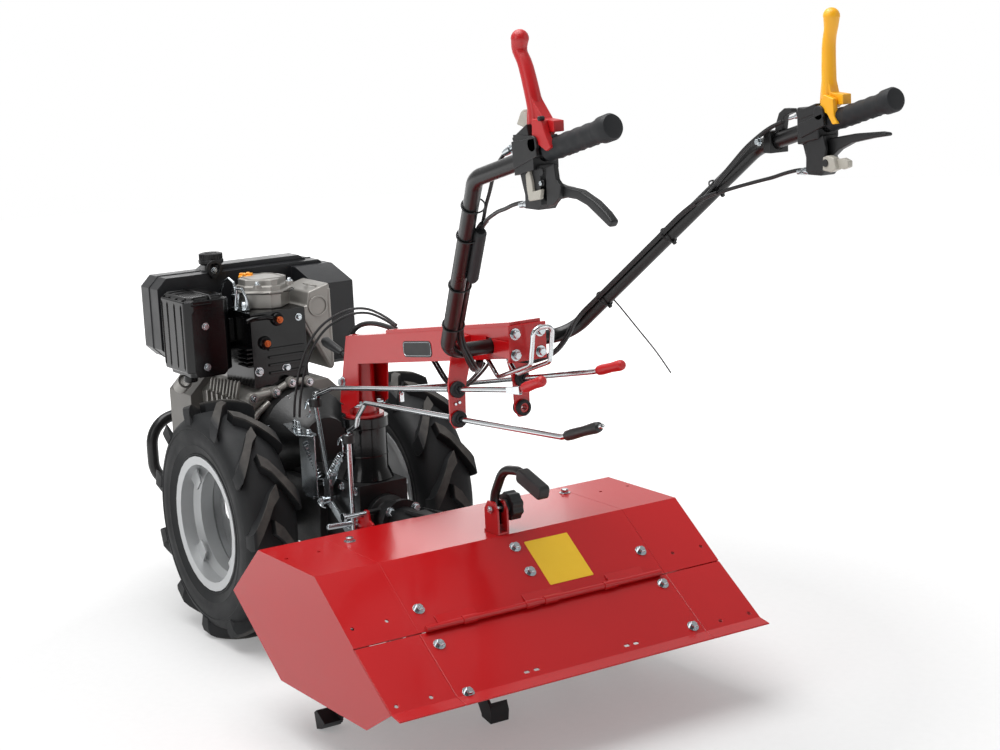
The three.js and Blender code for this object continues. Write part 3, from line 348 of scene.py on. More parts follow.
def silver_enamel():
    """Stoved silver enamel on pressed steel: satin, with metal flake that greys the shine."""
    return weathered_material("silver_enamel", {
        "Metallic": 0.45, "Coat Weight": 0.25, "Coat Roughness": 0.2,
    }, ("#aeb0b1", "#bfc1c2"), 60, (0.36, 0.46), 1.2, 0.02)


def zinc_plate():
    """Bright zinc plating on steel: a bluish mirror broken by fine drawn lines and cloudy spots."""
    return weathered_material(
        "zinc_plate", {"Metallic": 1.0}, ("#c6ccd0", "#bac1c5"), 30, (0.16, 0.24), 1.6, 0.004,
    )


def forged_steel():
    """Dark rolled and forged steel: a blue-black mill scale, rubbed brighter in places."""
    return weathered_material(
        "forged_steel", {"Metallic": 0.85}, ("#2a2b2d", "#454648"), 22, (0.42, 0.62), 1.6, 0.12,
    )


rubber = tyre_rubber()
rim_enamel = silver_enamel()
zinc = zinc_plate()
forged = forged_steel()


lug_pairs = 11
# Half of the tyre's outline from the crown to the bead: (mm out from the middle, mm radius).
tyre_half = [
    (0, 228), (22, 227.5), (38, 225), (49, 219), (55, 211), (57.5, 204), (58.2, 201), (56.9, 199),
    (58.6, 190), (58.4, 178), (56.5, 168), (57.2, 166), (55.8, 163), (52.5, 154), (50.5, 148),
    (52.2, 146), (51.8, 143.5), (48, 142.2), (46, 131),
]


def lug(way, turn, y_middle):
    """One bar of the chevron tread, from just past the crown out over the shoulder."""
    # Along the bar: mm out from the middle, radius of its top, half its width at top and foot.
    line = [
        (-9, 249.6, 13.5, 17.5), (8, 249.8, 14, 18.5), (22, 249.4, 14.5, 19.5), (36, 248.2, 15.5, 20.5),
        (48, 246.2, 17, 21.5), (56, 242, 18, 22), (58.8, 230, 17.5, 21.5), (58.6, 208, 14, 18.5),
    ]
    verts, faces = [], []
    for out, top, half_top, half_foot in line:
        lead = turn - math.radians(23) * (max(out, 0) / 59) ** 0.9
        foot = min(top - 6, 221 if out < 50 else 204)
        y = way * out
        inner_y = y if out < 50 else way * 50
        for radius, half, side_y in ((foot, half_foot, inner_y), (top, half_top, y)):
            for sign in (-1, 1):
                angle = lead + sign * half / tyre_radius
                x, z = radius * math.sin(angle), hub_height + radius * math.cos(angle)
                verts.append(at(x, y_middle + side_y, z))
    # Each row holds: foot before, foot after, top before, top after.
    for row in range(len(line) - 1):
        a, b = row * 4, row * 4 + 4
        faces += [
            (a + 2, a + 3, b + 3, b + 2), (a, b, b + 1, a + 1),
            (a, a + 2, b + 2, b), (a + 1, b + 1, b + 3, a + 3),
        ]
    last = (len(line) - 1) * 4
    faces += [(0, 1, 3, 2), (last, last + 2, last + 3, last + 1)]
    return verts, faces


def hexagon_head(place, axis, across, height, washer=0):
    """A hexagon bolt head or nut with a chamfered top, on its washer."""
    flats = across / math.sqrt(3)
    head = turned(
        [(0, 0), (0, flats), (height * 0.8, flats), (height, flats * 0.84), (height, 0)],
        Vector(place), axis, 6,
    )
    if not washer:
        return [head]
    ring = turned([(0, 0), (0, washer), (1.6, washer), (1.6, 0)], Vector(place), axis, 24)
    lift = Vector(axis).normalized() * 0.0016
    return [([v + lift for v in head[0]], head[1]), ring]


bolt_face = 40  # from the tyre's middle in to the outer face of the rim's disc
bolt_circle = 42
for side, way in (("left", 1), ("right", -1)):
    y_middle = way * half_track
    profile = [(way * y, r) for y, r in tyre_half]
    profile += [(way * -y, r) for y, r in reversed(tyre_half)][:-1]
    shapes = [turned(profile, at(0, y_middle, hub_height), (0, 1, 0), 96, ring=True)]
    step = 2 * math.pi / lug_pairs
    for k in range(lug_pairs):
        shapes.append(lug(1, k * step, y_middle))
        shapes.append(lug(-1, (k + 0.5) * step, y_middle))
    piece(f"tyre_with_lugs_{side}", f"wheel_{side}", shapes, rubber, 1.5, [f"tyre_{side}"])
    keep(f"rim_{side}", rim_enamel, 1.0)
    keep(f"axle_{side}", forged, 1.0)
    bolts = []
    for k in range(5):
        angle = 2 * math.pi * k / 5 + 0.3
        x, z = bolt_circle * math.sin(angle), hub_height + bolt_circle * math.cos(angle)
        bolts += hexagon_head(at(x, y_middle - way * bolt_face, z), (0, way, 0), 17, 9, 12)
    piece(f"wheel_bolts_{side}", f"wheel_{side}", bolts, zinc, 0.5)


# ---- Gearbox, clutch bell and steering column ----
# The transmission: an iron gearbox with the axle tubes cast on its sides and the clutch bell
# in front, and on top of it the column that the handlebar turns on. Both are painted black.
def slab(outline, origin, across, upward, depth):
    """A flat plate: an outline in mm on two directions, and its depth in mm along their cross."""
    across, upward = Vector(across).normalized(), Vector(upward).normalized()
    through = across.cross(upward) * depth / 1000
    near = [origin + across * a / 1000 + upward * b / 1000 for a, b in outline]
    count = len(near)
    verts = near + [v + through for v in near]
    faces = [tuple(range(count)), tuple(range(2 * count - 1, count - 1, -1))]
    faces += [(i, (i + 1) % count, (i + 1) % count + count, i + count) for i in range(count)]
    return verts, faces


def block(low, high):
    """A box between two corners given in mm from the axle."""
    (x0, y0, z0), (x1, y1, z1) = low, high
    outline = [(0, 0), (y1 - y0, 0), (y1 - y0, z1 - z0), (0, z1 - z0)]
    return slab(outline, at(x0, y0, z0), (0, 1, 0), (0, 0, 1), x1 - x0)


def casting_paint():
    """Black paint straight on sand-cast iron: a half gloss that follows the casting's rough skin."""
    return weathered_material(
        "casting_paint", {"IOR": 1.5, "Specular IOR Level": 0.45}, ("#0a0a0b", "#131415"), 45,
        (0.3, 0.48), 3.2, 0.3,
    )


def black_enamel():
    """Stoved gloss black enamel on pressed steel: a deep wet shine with slight orange peel."""
    return weathered_material("black_enamel", {
        "IOR": 1.5, "Specular IOR Level": 0.3, "Coat Weight": 0.1, "Coat Roughness": 0.06,
    }, ("#050506", "#09090a"), 60, (0.14, 0.22), 5, 0.04)


iron_paint = casting_paint()
enamel = black_enamel()
keep("gearbox", iron_paint, 3.5)
column_x = -240
column_profile = [(0, 0), (0, 52), (22, 42), (105.7, 42), (107, 47), (127.7, 47), (127.7, 0)]
column = turned(column_profile, at(column_x, 0, 350.3), (0, 0, 1), 72)
piece("steering_column_turned", "chassis", [column], enamel, 1.2, ["steering_column"])


def fasteners(name, body, shapes):
    """Zinc-plated bolts, screws or pins as one piece that rides on a body."""
    piece(name, body, shapes, zinc, 0.4)


bell_bolts = []
bell_circle, bell_height = 96, 388
for k in range(8):
    angle = math.radians(22 + 45 * k)
    place = at(24, bell_circle * math.cos(angle), bell_height + bell_circle * math.sin(angle))
    bell_bolts += hexagon_head(place, (-1, 0, 0), 10, 6, 9)
fasteners("bell_bolts", "chassis", bell_bolts)

case_bolts = []
for x, z in ((-285, 338), (-230, 338), (-175, 338), (-285, 250), (-245, 212), (-185, 205)):
    case_bolts += hexagon_head(at(x, 55, z), (0, 1, 0), 10, 6, 9)
    case_bolts += hexagon_head(at(x, -55, z), (0, -1, 0), 10, 6, 9)
fasteners("gearbox_bolts", "chassis", case_bolts)
seam_profile = [(0, 43.2), (3, 43.2), (3, 41), (0, 41)]
column_seam = [turned(seam_profile, at(column_x, 0, 398), (0, 0, 1), 48, ring=True)]
column_seam.append(block((-262, -20, 351), (-244, 20, 372)))
piece("column_weld_ring", "chassis", column_seam, enamel, 0.6)


# ---- Engine block ----
# A small air-cooled diesel: the crankcase and the blower housing in front of it are pressure
# die-cast aluminium, bolted together through bosses on curved arms.
def swept(points, radius, sides=16, closed=False):
    """A round bar of that radius in mm along a line of places, with flat ends unless it is closed."""
    count = len(points)
    tangents = []
    for i in range(count):
        before = points[i - 1] if i or closed else points[i]
        after = points[(i + 1) % count] if i < count - 1 or closed else points[i]
        tangents.append((after - before).normalized())
    normal = frame_along(tangents[0])[0]
    verts, faces = [], []
    for i, (point, tangent) in enumerate(zip(points, tangents)):
        normal = (normal - tangent * normal.dot(tangent)).normalized()
        other = tangent.cross(normal)
        size = (radius[i] if isinstance(radius, (list, tuple)) else radius) / 1000
        for k in range(sides):
            angle = 2 * math.pi * k / sides
            verts.append(point + (normal * math.cos(angle) + other * math.sin(angle)) * size)
    for row in range(count if closed else count - 1):
        after = (row + 1) % count
        for k in range(sides):
            n = (k + 1) % sides
            faces.append((row * sides + k, row * sides + n, after * sides + n, after * sides + k))
    if not closed:
        faces.append(tuple(range(sides)))
        faces.append(tuple((count - 1) * sides + k for k in range(sides)))
    return verts, faces


def die_cast_aluminium():
    """Aluminium as it leaves the die: grey, with a soft metal sheen, flow marks and a fine skin."""
    return weathered_material(
        "die_cast_aluminium", {"Metallic": 0.6}, ("#8b8985", "#a19e99"), 35, (0.34, 0.48), 1.8, 0.08,
    )


def shaded_die_cast_aluminium():
    """Die-cast aluminium of the blower housing, a darker copy as painted shade under the tank, with a
    rougher skin.
    """
    return weathered_material(
        "shaded_die_cast_aluminium", {"Metallic": 0.5}, ("#6b6966", "#807d79"), 35, (0.42, 0.55), 1.8, 0.1,
    )


aluminium = die_cast_aluminium()
keep("engine_crankcase", aluminium, 4)
# The blower housing takes the darker copy of the aluminium: painted shade.
keep("fan_housing", shaded_die_cast_aluminium(), 5)
arm_bolts = [at(58, 108, 484), at(58, 54, 489), at(58, 15, 505), at(58, -26, 501)]
arm = [swept(arm_bolts, [11, 8, 8, 10], 16)]
arm += [turned([(0, 0), (0, 13), (13, 11.5), (13, 0)], place, (-1, 0, 0), 24) for place in arm_bolts]
arm.append(swept([at(50, 70, 470), at(52, 96, 452), at(56, 118, 424)], 7))
piece("crankcase_arm", "chassis", arm, aluminium, 1.5)
heads = []
for place in arm_bolts:
    heads += hexagon_head(place + Vector((-0.013, 0, 0)), (-1, 0, 0), 9, 6, 8)
fasteners("crankcase_bolts", "chassis", heads)
fins = []
for k in range(9):
    x = 262 - 17 * k
    low, high = at(x, 111, 452 + 2.2 * k), at(x - 21, 111, 503 + 1.4 * k)
    fin = [low, low.lerp(high, 0.1), low.lerp(high, 0.9), high]
    fins.append(swept(fin, [1.5, 4, 4, 1.5], 8))
piece("crankcase_slanted_fins", "chassis", fins, aluminium, 0)
blower_rings = []
for r in (14, 26, 38, 50):
    section = [(0, r), (4, r), (4, r + 4), (0, r + 4)]
    blower_rings.append(turned(section, at(454, 0, 402.5), (1, 0, 0), 64, ring=True))
blower_rings += [block((454, -58, 400), (457, 58, 405)), block((454, -2.5, 345), (457, 2.5, 460))]
piece("blower_grille", "chassis", blower_rings, iron_paint, 0.5)


# ---- Cylinder, rocker cover and air duct ----
# The finned cylinder hides behind a gloss black steel shroud. The cast rocker cover stands on
# it with an orange oil filler cap, and the cast duct beside it leads in the cooling air.
def copper():
    """Bare turned copper of the pipe unions: pink-orange metal, a little dull."""
    return weathered_material(
        "bare_copper", {"Metallic": 1.0}, ("#c4683f", "#a9512d"), 6, (0.25, 0.4), 1, 0.03,
    )


def orange_nylon():
    """Orange glass-filled nylon, moulded: even colour and a fine matt skin."""
    return weathered_material(
        "orange_nylon", {"IOR": 1.53}, ("#ee9a16", "#f3a726"), 20, (0.38, 0.5), 1, 0.012,
    )


keep("cylinder_shroud", enamel, 4)
keep("rocker_cover", aluminium, 3)
keep("air_duct", aluminium, 5)
shroud = [block((70, 90, 546 + 9 * k), (120, 104, 550 + 9 * k)) for k in range(5)]
shroud.append(swept([at(62, 104, 646), at(60, 92, 650), at(60, 58, 650), at(63, 44, 646)], 5, 12))
union_places = ((31, 642), (63, 595))
shroud += [
    turned([(0, 0), (0, 15), (8, 13), (10, 0)], at(68, y, z), (-1, 0, 0), 24)
    for y, z in union_places
]
piece("shroud_fins", "chassis", shroud, enamel, 1)
union_profile = [(0, 0), (0, 7.5), (7, 7.5), (7, 4), (10, 4), (10, 0)]
unions = [turned(union_profile, at(59, y, z), (-1, 0, 0), 16) for y, z in union_places]
piece("pipe_unions", "chassis", unions, copper(), 0.5)
shroud_bolts = hexagon_head(at(68, 80, 535), (-1, 0, 0), 11, 7, 10)
shroud_bolts += hexagon_head(at(68, 16, 535), (-1, 0, 0), 11, 7, 10)
shroud_bolts += hexagon_head(at(68, -20, 640), (-1, 0, 0), 9, 6, 8)
fasteners("shroud_bolts", "chassis", shroud_bolts)

injector_profile = [
    (0, 0), (0, 12), (6, 12), (6, 8), (22, 8), (22, 10), (34, 10), (34, 5), (48, 5), (50, 0),
]
injector = [turned(injector_profile, at(150, 84, 660), (0, 0, 1), 16)]
for line in (
    [(150, 84, 700), (152, 86, 718), (166, 90, 726), (190, 92, 716), (206, 94, 690), (208, 94, 664)],
    [(116, 74, 662), (112, 78, 690), (118, 84, 708), (134, 88, 706), (140, 90, 680), (140, 92, 664)],
):
    injector.append(swept([at(*p) for p in line], 3.2, 12))
injector += hexagon_head(at(120, 78, 662), (0, 0, 1), 14, 16, 11)
fasteners("injector_pipes", "chassis", injector)

cover_x, cover_y = 158, 16
cover_outline = [(-34, -52), (34, -52), (58, -30), (58, 30), (34, 52), (-34, 52), (-58, 30), (-58, -30)]
inset = [at(cover_x + a * 0.72, cover_y + b * 0.72, 722) for a, b in cover_outline]
cover = [swept(inset, 1.6, 8, closed=True)]
cover_bolts = []
for x, y in ((104, -22), (104, 54), (212, -22)):
    cover.append(turned([(0, 0), (0, 9), (8, 8), (8, 0)], at(x, y, 706), (0, 0, 1), 20))
    cover_bolts += hexagon_head(at(x, y, 714), (0, 0, 1), 8, 5, 7)
piece("rocker_cover_ribs", "chassis", cover, aluminium, 0.6)
fasteners("rocker_cover_bolts", "chassis", cover_bolts)
gasket_line = [at(cover_x + a * 1.11, cover_y + b * 1.08, 694) for a, b in cover_outline]
gasket = [swept(gasket_line, 1.2, 8, closed=True)]
piece("rocker_cover_gasket", "chassis", gasket, iron_paint, 0)
filler = [turned([(0, 0), (0, 17), (5, 17), (7, 15), (7, 0)], at(206, 30, 716), (0, 0, 1), 32)]
wing = [(-15, -3.5), (15, -3.5), (15, 3.5), (-15, 3.5)]
for a, b in ((1, 1), (1, -1)):
    filler.append(slab(wing, at(206, 30, 723), (a, b, 0), (-b, a, 0), 4))
piece("oil_filler_cap", "chassis", filler, orange_nylon(), 1)

duct_face = 84
duct = [turned([(0, 19), (3, 19), (3, 23), (0, 23)], at(duct_face, -76, 655), (-1, 0, 0), 40, ring=True)]
collar = [(0, 16), (2.5, 16), (2.5, 20), (0, 20)]
duct.append(turned(collar, at(118, -82, 695), (0, -0.26, 0.96), 40, ring=True))
duct.append(swept([at(86, -104, 520), at(86, -104, 690)], 4, 12))
duct.append(swept([at(86, -100, 520), at(86, -66, 585), at(86, -44, 630)], 4, 12))
piece("air_duct_rings", "chassis", duct, aluminium, 0.8)


# ---- Fuel tank ----
# A blow-moulded black polyethylene tank across the front of the engine, with a lobe that comes
# back on the right. A steel ring holds the filler neck, and the cap is a ribbed moulding.
def blown_polyethylene():
    """Blow-moulded polyethylene: waxy black, a soft even shine and a fine pebbled skin."""
    return weathered_material(
        "blown_polyethylene", {"IOR": 1.51, "Specular IOR Level": 0.45}, ("#17181a", "#1f2023"), 80,
        (0.32, 0.44), 1.6, 0.1,
    )


def moulded_abs():
    """Injection-moulded black ABS: fine spark-eroded grain, dull shine."""
    return weathered_material(
        "moulded_abs", {"IOR": 1.52, "Specular IOR Level": 0.45}, ("#101011", "#18191b"), 30,
        (0.38, 0.52), 0.9, 0.05,
    )


tank_skin = blown_polyethylene()
abs_black = moulded_abs()
tank = keep("fuel_tank", tank_skin, 13)
tank.modifiers["rounded_edges"].segments = 4
seam_outline = [
    (214, 574), (214, 706), (192, 728), (-178, 728), (-200, 706), (-200, 574), (-178, 552), (192, 552),
]
seam = [swept([at(307, y, z) for y, z in seam_outline], 2, 8, closed=True)]
seam.append(turned([(0, 20), (0, 24), (6, 22), (6, 18)], at(290, 72, 726), (0, 0, 1), 32, ring=True))
piece("tank_seam", "chassis", seam, tank_skin, 0)
cap_place = at(290, 72, 742.5)
cap_profile = [
    (0, 0), (0, 22), (4, 27), (11, 27.5), (12, 25), (24, 24.5), (26, 21), (26, 14), (24, 13), (24, 0),
]
cap = [turned(cap_profile, cap_place, (0, 0, 1), 64)]
cap_ribs = 28
for k in range(cap_ribs):
    angle = 2 * math.pi * k / cap_ribs
    out = Vector((math.cos(angle), math.sin(angle), 0))
    aside = out.cross(Vector((0, 0, -1)))
    rib = [(-1, 12.5), (1, 12.5), (1, 24.5), (-1, 24.5)]
    cap.append(slab(rib, cap_place + out * 0.0235, aside, (0, 0, 1), 2.4))
handle_bar = [(-16, -3), (16, -3), (16, 3), (-16, 3)]
cap.append(slab(handle_bar, cap_place + Vector((0, 0, 0.023)), (1, 0.4, 0), (-0.4, 1, 0), 2.8))
piece("fuel_cap_ribbed", "chassis", cap, abs_black, 0.4, ["fuel_cap"])
eyelet = [turned([(0, 12), (0, 19), (5, 19), (5, 12)], at(262, 79, 737), (-1, 0, 0), 32, ring=True)]
eyelet.append(block((256, 72, 716), (262, 86, 726)))
piece("lifting_eyelet", "chassis", eyelet, iron_paint, 1.2)
eyelet_screw = hexagon_head(at(262, 79, 733), (-1, 0, 0), 9, 6, 7)
fasteners("eyelet_screw", "chassis", eyelet_screw)


# ---- Exhaust silencer ----
# Two pressed steel shells welded round the edge and stoved gloss black, with flutes pressed
# into the outer side and a heat guard screwed to the rear. The outlet is a bare steel stub.
silencer = keep("muffler", enamel, 9)
silencer.modifiers["rounded_edges"].segments = 4
flutes = []
flute_line = [(214, 540), (216, 552), (216, 682), (211.5, 694), (202, 701), (158, 702)]
for x in (142, 176, 212, 240):
    flutes.append(swept([at(x, y, z) for y, z in flute_line], [0.6, 1.9, 1.9, 1.9, 1.9, 0.6], 12))
shell_seam = [
    at(252, 158, 702), at(122, 158, 702), at(115.5, 158, 695), at(115, 158, 686), at(115, 204, 686),
]
flutes.append(swept(shell_seam, 1.9, 10))
guard_outline = [
    (130, 540), (130, 668), (138, 676), (196, 676), (204, 668), (204, 540), (196, 532), (138, 532),
]
flutes.append(slab(guard_outline, at(116, 0, 0), (0, 1, 0), (0, 0, 1), -2.2))
piece("silencer_flutes", "chassis", flutes, enamel, 1.2)
silencer_screws = hexagon_head(at(112, 176, 640), (-1, 0, 0), 10, 4, 8)
silencer_screws += hexagon_head(at(112, 178, 553), (-1, 0, 0), 10, 4, 8)
fasteners("silencer_screws", "chassis", silencer_screws)
stub = [turned([(0, 11), (0, 16), (34, 16), (34, 11)], at(236, 190, 494), (-0.86, 0, 0.5), 32, ring=True)]
piece("silencer_outlet", "chassis", stub, aluminium, 0.8)


# ---- Front guard ----
# A closed hoop of bent steel tube in front of the engine, powder-coated black. Two flat
# stays carry it from below the fan housing.
def satin_powder_coat():
    """Black powder coat on steel tube: satin, with the fine ripple that the powder flows into."""
    return weathered_material(
        "satin_powder_coat", {"IOR": 1.5, "Specular IOR Level": 0.5}, ("#0b0b0c", "#111112"), 90,
        (0.26, 0.36), 4, 0.04,
    )


def rounded(points, bend, steps=8, closed=False):
    """The line with each corner replaced by an arc of that radius in mm, or the largest that fits."""
    count = len(points)
    line = []
    for i, corner in enumerate(points):
        if not closed and i in (0, count - 1):
            line.append(corner)
            continue
        before, after = points[i - 1], points[(i + 1) % count]
        to_before, to_after = before - corner, after - corner
        half = to_before.angle(to_after) / 2
        reach = min(bend / 1000 / math.tan(half), to_before.length * 0.49, to_after.length * 0.49)
        radius = reach * math.tan(half)
        start = corner + to_before.normalized() * reach
        end = corner + to_after.normalized() * reach
        inward = (to_before.normalized() + to_after.normalized()).normalized()
        centre = corner + inward * math.hypot(radius, reach)
        first, last = start - centre, end - centre
        turn = first.angle(last)
        for k in range(steps + 1):
            share = k / steps
            spoke = first * math.sin((1 - share) * turn) + last * math.sin(share * turn)
            line.append(centre + spoke / math.sin(turn))
    return line


powder_black = satin_powder_coat()
hoop_corners = [at(498, 158, 215), at(498, 158, 376), at(498, -158, 376), at(498, -158, 215)]
hoop = [swept(rounded(hoop_corners, 62, 10, closed=True), 13.3, 24, closed=True)]
for y in (-70, 70):
    hoop.append(block((238, y - 12, 211), (498, y + 12, 219)))
    hoop.append(block((238, y - 12, 211), (258, y + 12, 250)))
piece("front_guard_hoop", "chassis", hoop, powder_black, 0.8, ["front_guard"])


# ---- Gear linkage beside the gearbox ----
# Zinc-plated rods, plates and wire: two upright rods stand on a pair of levers and are moved
# by the long rods from the handlebar. A pressed bracket holds the ends of the cables.
def coil(start, end, radius, turns, wire):
    """A coil spring with straight hooks, as a list of places."""
    axis = (end - start).normalized()
    first, second = frame_along(axis)
    length = (end - start).length
    line = [start]
    for k in range(turns * 12 + 1):
        angle = 2 * math.pi * k / 12
        share = 0.14 + 0.72 * k / (turns * 12)
        out = first * math.cos(angle) + second * math.sin(angle)
        line.append(start + axis * length * share + out * radius / 1000)
    line.append(end)
    return swept(line, wire, 8)


for node in ("shift_upright", "drive_upright", "shift_linkage", "cable_bracket"):
    keep(node, zinc, 1.0)
caps, clips = [], []
for x, top in ((-160, 500), (-294, 447)):
    cap_profile = [(0, 0), (0, 12.5), (15, 12.5), (17, 11), (17, 0)]
    caps.append(turned(cap_profile, at(x, 69, top - 6), (0, 0, 1), 24))
    turns = [k * math.pi / 6 for k in range(11)]
    ring = [at(x + 11 + 11 * math.cos(t), 82, top + 16 * math.sin(t) - 12) for t in turns]
    clips.append(swept([at(x + 4, 82, top + 10)] + ring + [at(x - 8, 82, top - 22)], 1.2, 8))
piece("upright_clevis_caps", "chassis", caps, abs_black, 0.8)
clips.append(coil(at(-118, 84, 432), at(-176, 70, 330), 6, 12, 1.1))
clips.append(coil(at(-205, 76, 352), at(-262, 66, 420), 5.5, 10, 1.1))
clips.append(swept([at(-196, 88, 306), at(-196, 96, 306), at(-210, 96, 300), at(-214, 88, 296)], 1.6, 8))
piece("linkage_springs", "chassis", clips, zinc, 0)
pins = [turned([(0, 0), (0, 6), (62, 6), (64, 4), (64, 0)], at(-292, 60, 276), (0.15, 1, 0), 16)]
pins.append(turned([(0, 0), (0, 10), (5, 10), (5, 0)], at(-196, 82, 306), (0, 1, 0), 24))
pins += hexagon_head(at(-196, 86, 306), (0, 1, 0), 13, 8)
pins += hexagon_head(at(-292, 77, 252), (0, 1, 0), 13, 8, 10)
lever_outline = [(-34, -7), (34, -7), (40, 0), (34, 7), (-34, 7), (-40, 0)]
pins.append(slab(lever_outline, at(-232, 66, 372), (-0.6, 0, 0.8), (0.8, 0, 0.6), 4))
for x, y in ((-92, 84), (-106, 84), (-140, 98), (-160, 88)):
    pins += hexagon_head(at(x, y, 441), (0, 0, 1), 10, 7, 8)
fasteners("linkage_pins", "chassis", pins)


# ---- Tiller coupling and drive case ----
# The quick coupling at the gearbox's rear and the tiller's drive case, both cast iron and painted
# black. A welded bracket ties the case to the hood's front edge. The coupling's latch is red.
def red_powder_coat():
    """Signal red powder coat on sheet steel: a bright gloss with faint orange peel."""
    return weathered_material("red_powder_coat", {
        "IOR": 1.46, "Coat Weight": 0.1, "Coat Roughness": 0.05,
    }, ("#b00c11", "#b70e13"), 220, (0.18, 0.25), 6, 0.04)


red_coat = red_powder_coat()
keep("coupling", iron_paint, 1.5)
keep("drive_case", iron_paint, 3)
keep("hood_bracket", iron_paint, 1.2)
coupling_bolts = []
coupling_circle, coupling_height = 40, 280
for k in range(4):
    angle = math.radians(45 + 90 * k)
    place = at(
        -374, coupling_circle * math.cos(angle), coupling_height + coupling_circle * math.sin(angle),
    )
    coupling_bolts += hexagon_head(place, (-1, 0, 0), 13, 8, 10)
pin_profile = [(0, 0), (0, 5), (70, 5), (70, 9), (76, 9), (76, 0)]
coupling_bolts.append(turned(pin_profile, at(-326, 34, 302), (0, 1, 0), 16))
fasteners("coupling_bolts", "chassis", coupling_bolts)
latch = [
    (-284, 284), (-284, 255), (-302, 248), (-345, 258), (-352, 282), (-338, 288), (-333, 307),
    (-319, 307), (-314, 290),
]
latch_plate = [slab(latch, at(0, 52.3, 0), (1, 0, 0), (0, 0, 1), -5)]
piece("coupling_latch", "chassis", latch_plate, red_coat, 1)


# ---- Rotor ----
# The tiller's rotor: forged L-shaped steel tines, bolted to round flanges on two half shafts.
# The steel isn't painted and keeps its dark mill scale.
rotor_x, rotor_z = -692, 143
for side, way in (("left", 1), ("right", -1)):
    keep(f"rotor_{side}", forged, 1.2)
    tine_bolts = []
    for index, y in enumerate((76, 182, 290)):
        phase = -33 if (way > 0 and index == 0) else 33
        for k in range(3):
            for reach in (34, 52):
                angle = math.radians(phase + 120 * k)
                x = rotor_x - reach * math.sin(angle)
                z = rotor_z - reach * math.cos(angle)
                tine_bolts += hexagon_head(at(x, way * (y + 9), z), (0, way, 0), 13, 8)
    fasteners(f"tine_bolts_{side}", "rotor", tine_bolts)


# ---- Tiller hood ----
# The hood is folded from 3 mm sheet steel and powder-coated signal red: a centre panel, two
# side panels bolted to it, and a hinged rear flap. The hinge is a rod in three welded leaves.
hood_top_z = 335
fold_x, hinge_x, hinge_z = -747, -875, 239
lip_x, lip_z = -993, 157
slope_way = Vector((hinge_x - fold_x, 0, hinge_z - hood_top_z)).normalized()
slope_out = Vector((slope_way.z, 0, -slope_way.x))
flap_way = Vector((lip_x - hinge_x, 0, lip_z - hinge_z)).normalized()
flap_out = Vector((flap_way.z, 0, -flap_way.x))
slope_length = 160


def on_slope(down, y, proud=0):
    """The place down mm below the hood's upper fold, on the slope or, past the hinge, on the flap."""
    if down <= slope_length:
        return at(fold_x, y, hood_top_z) + (slope_way * down + slope_out * proud) / 1000
    return at(hinge_x, y, hinge_z) + (flap_way * (down - slope_length) + flap_out * proud) / 1000


def drill(name, body, holes):
    """The cutter for round or slotted holes: a place, an axis, a radius and a slot's run in mm."""
    shapes = []
    for place, axis, radius, run in holes:
        axis = Vector(axis).normalized()
        outline = []
        for k in range(24):
            angle = 2 * math.pi * (k + 0.5) / 24
            shift = math.copysign(run / 2, math.cos(angle))
            outline.append((radius * math.cos(angle) + shift, radius * math.sin(angle)))
        first, second = frame_along(axis)
        shapes.append(slab(outline, place - axis * 0.01, first, second, 20))
    made = piece(name + "_drill", body, shapes, red_coat)
    made.hide_render = True
    made.hide_viewport = True
    return made


for side, way in (("left", 1), ("right", -1)):
    holes = [(at(-613, way * 376, 335), (0, 0, 1), 3.5, 0), (at(-612, way * 311, 335), (0, 0, 1), 3.5, 0)]
    holes += [(on_slope(121, way * y), slope_out, 3.5, 0) for y in (374, 307)]
    keep(f"hood_{side}", red_coat, 1.3, 20, drill(f"hood_{side}", "chassis", holes))
    flap_holes = [(on_slope(290, way * y), flap_out, 3.5, 0) for y in (374, 307)]
    keep(f"flap_{side}", red_coat, 1.3, 20, drill(f"flap_{side}", "flap", flap_holes))
keep("hood_centre", red_coat, 1.3, 20)
lip_slots = [(on_slope(290, y), flap_out, 2.5, 6) for y in (116, 96, -96, -116)]
keep("flap_centre", red_coat, 1.3, 20, drill("flap_centre", "flap", lip_slots))
keep("hood_hinge", red_coat, 0.6)

hood_bolts = hexagon_head(at(-591, 236, 335), (0, 0, 1), 13, 7, 11)
hood_bolts += hexagon_head(at(-573, -253, 335), (0, 0, 1), 13, 7, 11)
for down, y in ((113, 240), (31, -5), (90, -5), (101, -245)):
    hood_bolts += hexagon_head(on_slope(down, y), slope_out, 13, 7, 11)
fasteners("hood_bolts", "chassis", hood_bolts)
flap_bolts = []
for down, y in ((193, 240), (300, 240), (182, -245), (287, -245)):
    flap_bolts += hexagon_head(on_slope(down, y), flap_out, 13, 7, 11)
fasteners("flap_bolts", "flap", flap_bolts)
hinge_knuckles = []
knuckle = [(0, 0), (0, 7.6), (28, 7.6), (28, 0)]
for y in (-150, -20, 20, 150):
    hinge_knuckles.append(turned(knuckle, at(-878.8, y, 244.0), (0, 1, 0), 20))
piece("hinge_knuckles", "chassis", hinge_knuckles, red_coat, 0.6)


def yellow_foil():
    """A blank printed foil: bright yellow vinyl with a smooth plastic shine."""
    return weathered_material(
        "yellow_foil", {"IOR": 1.48}, ("#e9b81c", "#efc22a"), 25, (0.3, 0.4), 3, 0.01,
    )


def rounded_outline(width, height, corner, steps=6):
    """A rectangle about its middle with rounded corners, in mm."""
    outline = []
    for index, (sx, sy) in enumerate(((1, 1), (-1, 1), (-1, -1), (1, -1))):
        for k in range(steps + 1):
            angle = math.pi / 2 * (index + k / steps)
            across = sx * (width / 2 - corner) + corner * math.cos(angle)
            upward = sy * (height / 2 - corner) + corner * math.sin(angle)
            outline.append((across, upward))
    return outline


foil = [slab(rounded_outline(95, 103, 2), on_slope(76, -75), (0, 1, 0), -slope_way, -0.6)]
piece("blank_foil", "chassis", foil, yellow_foil(), 0)


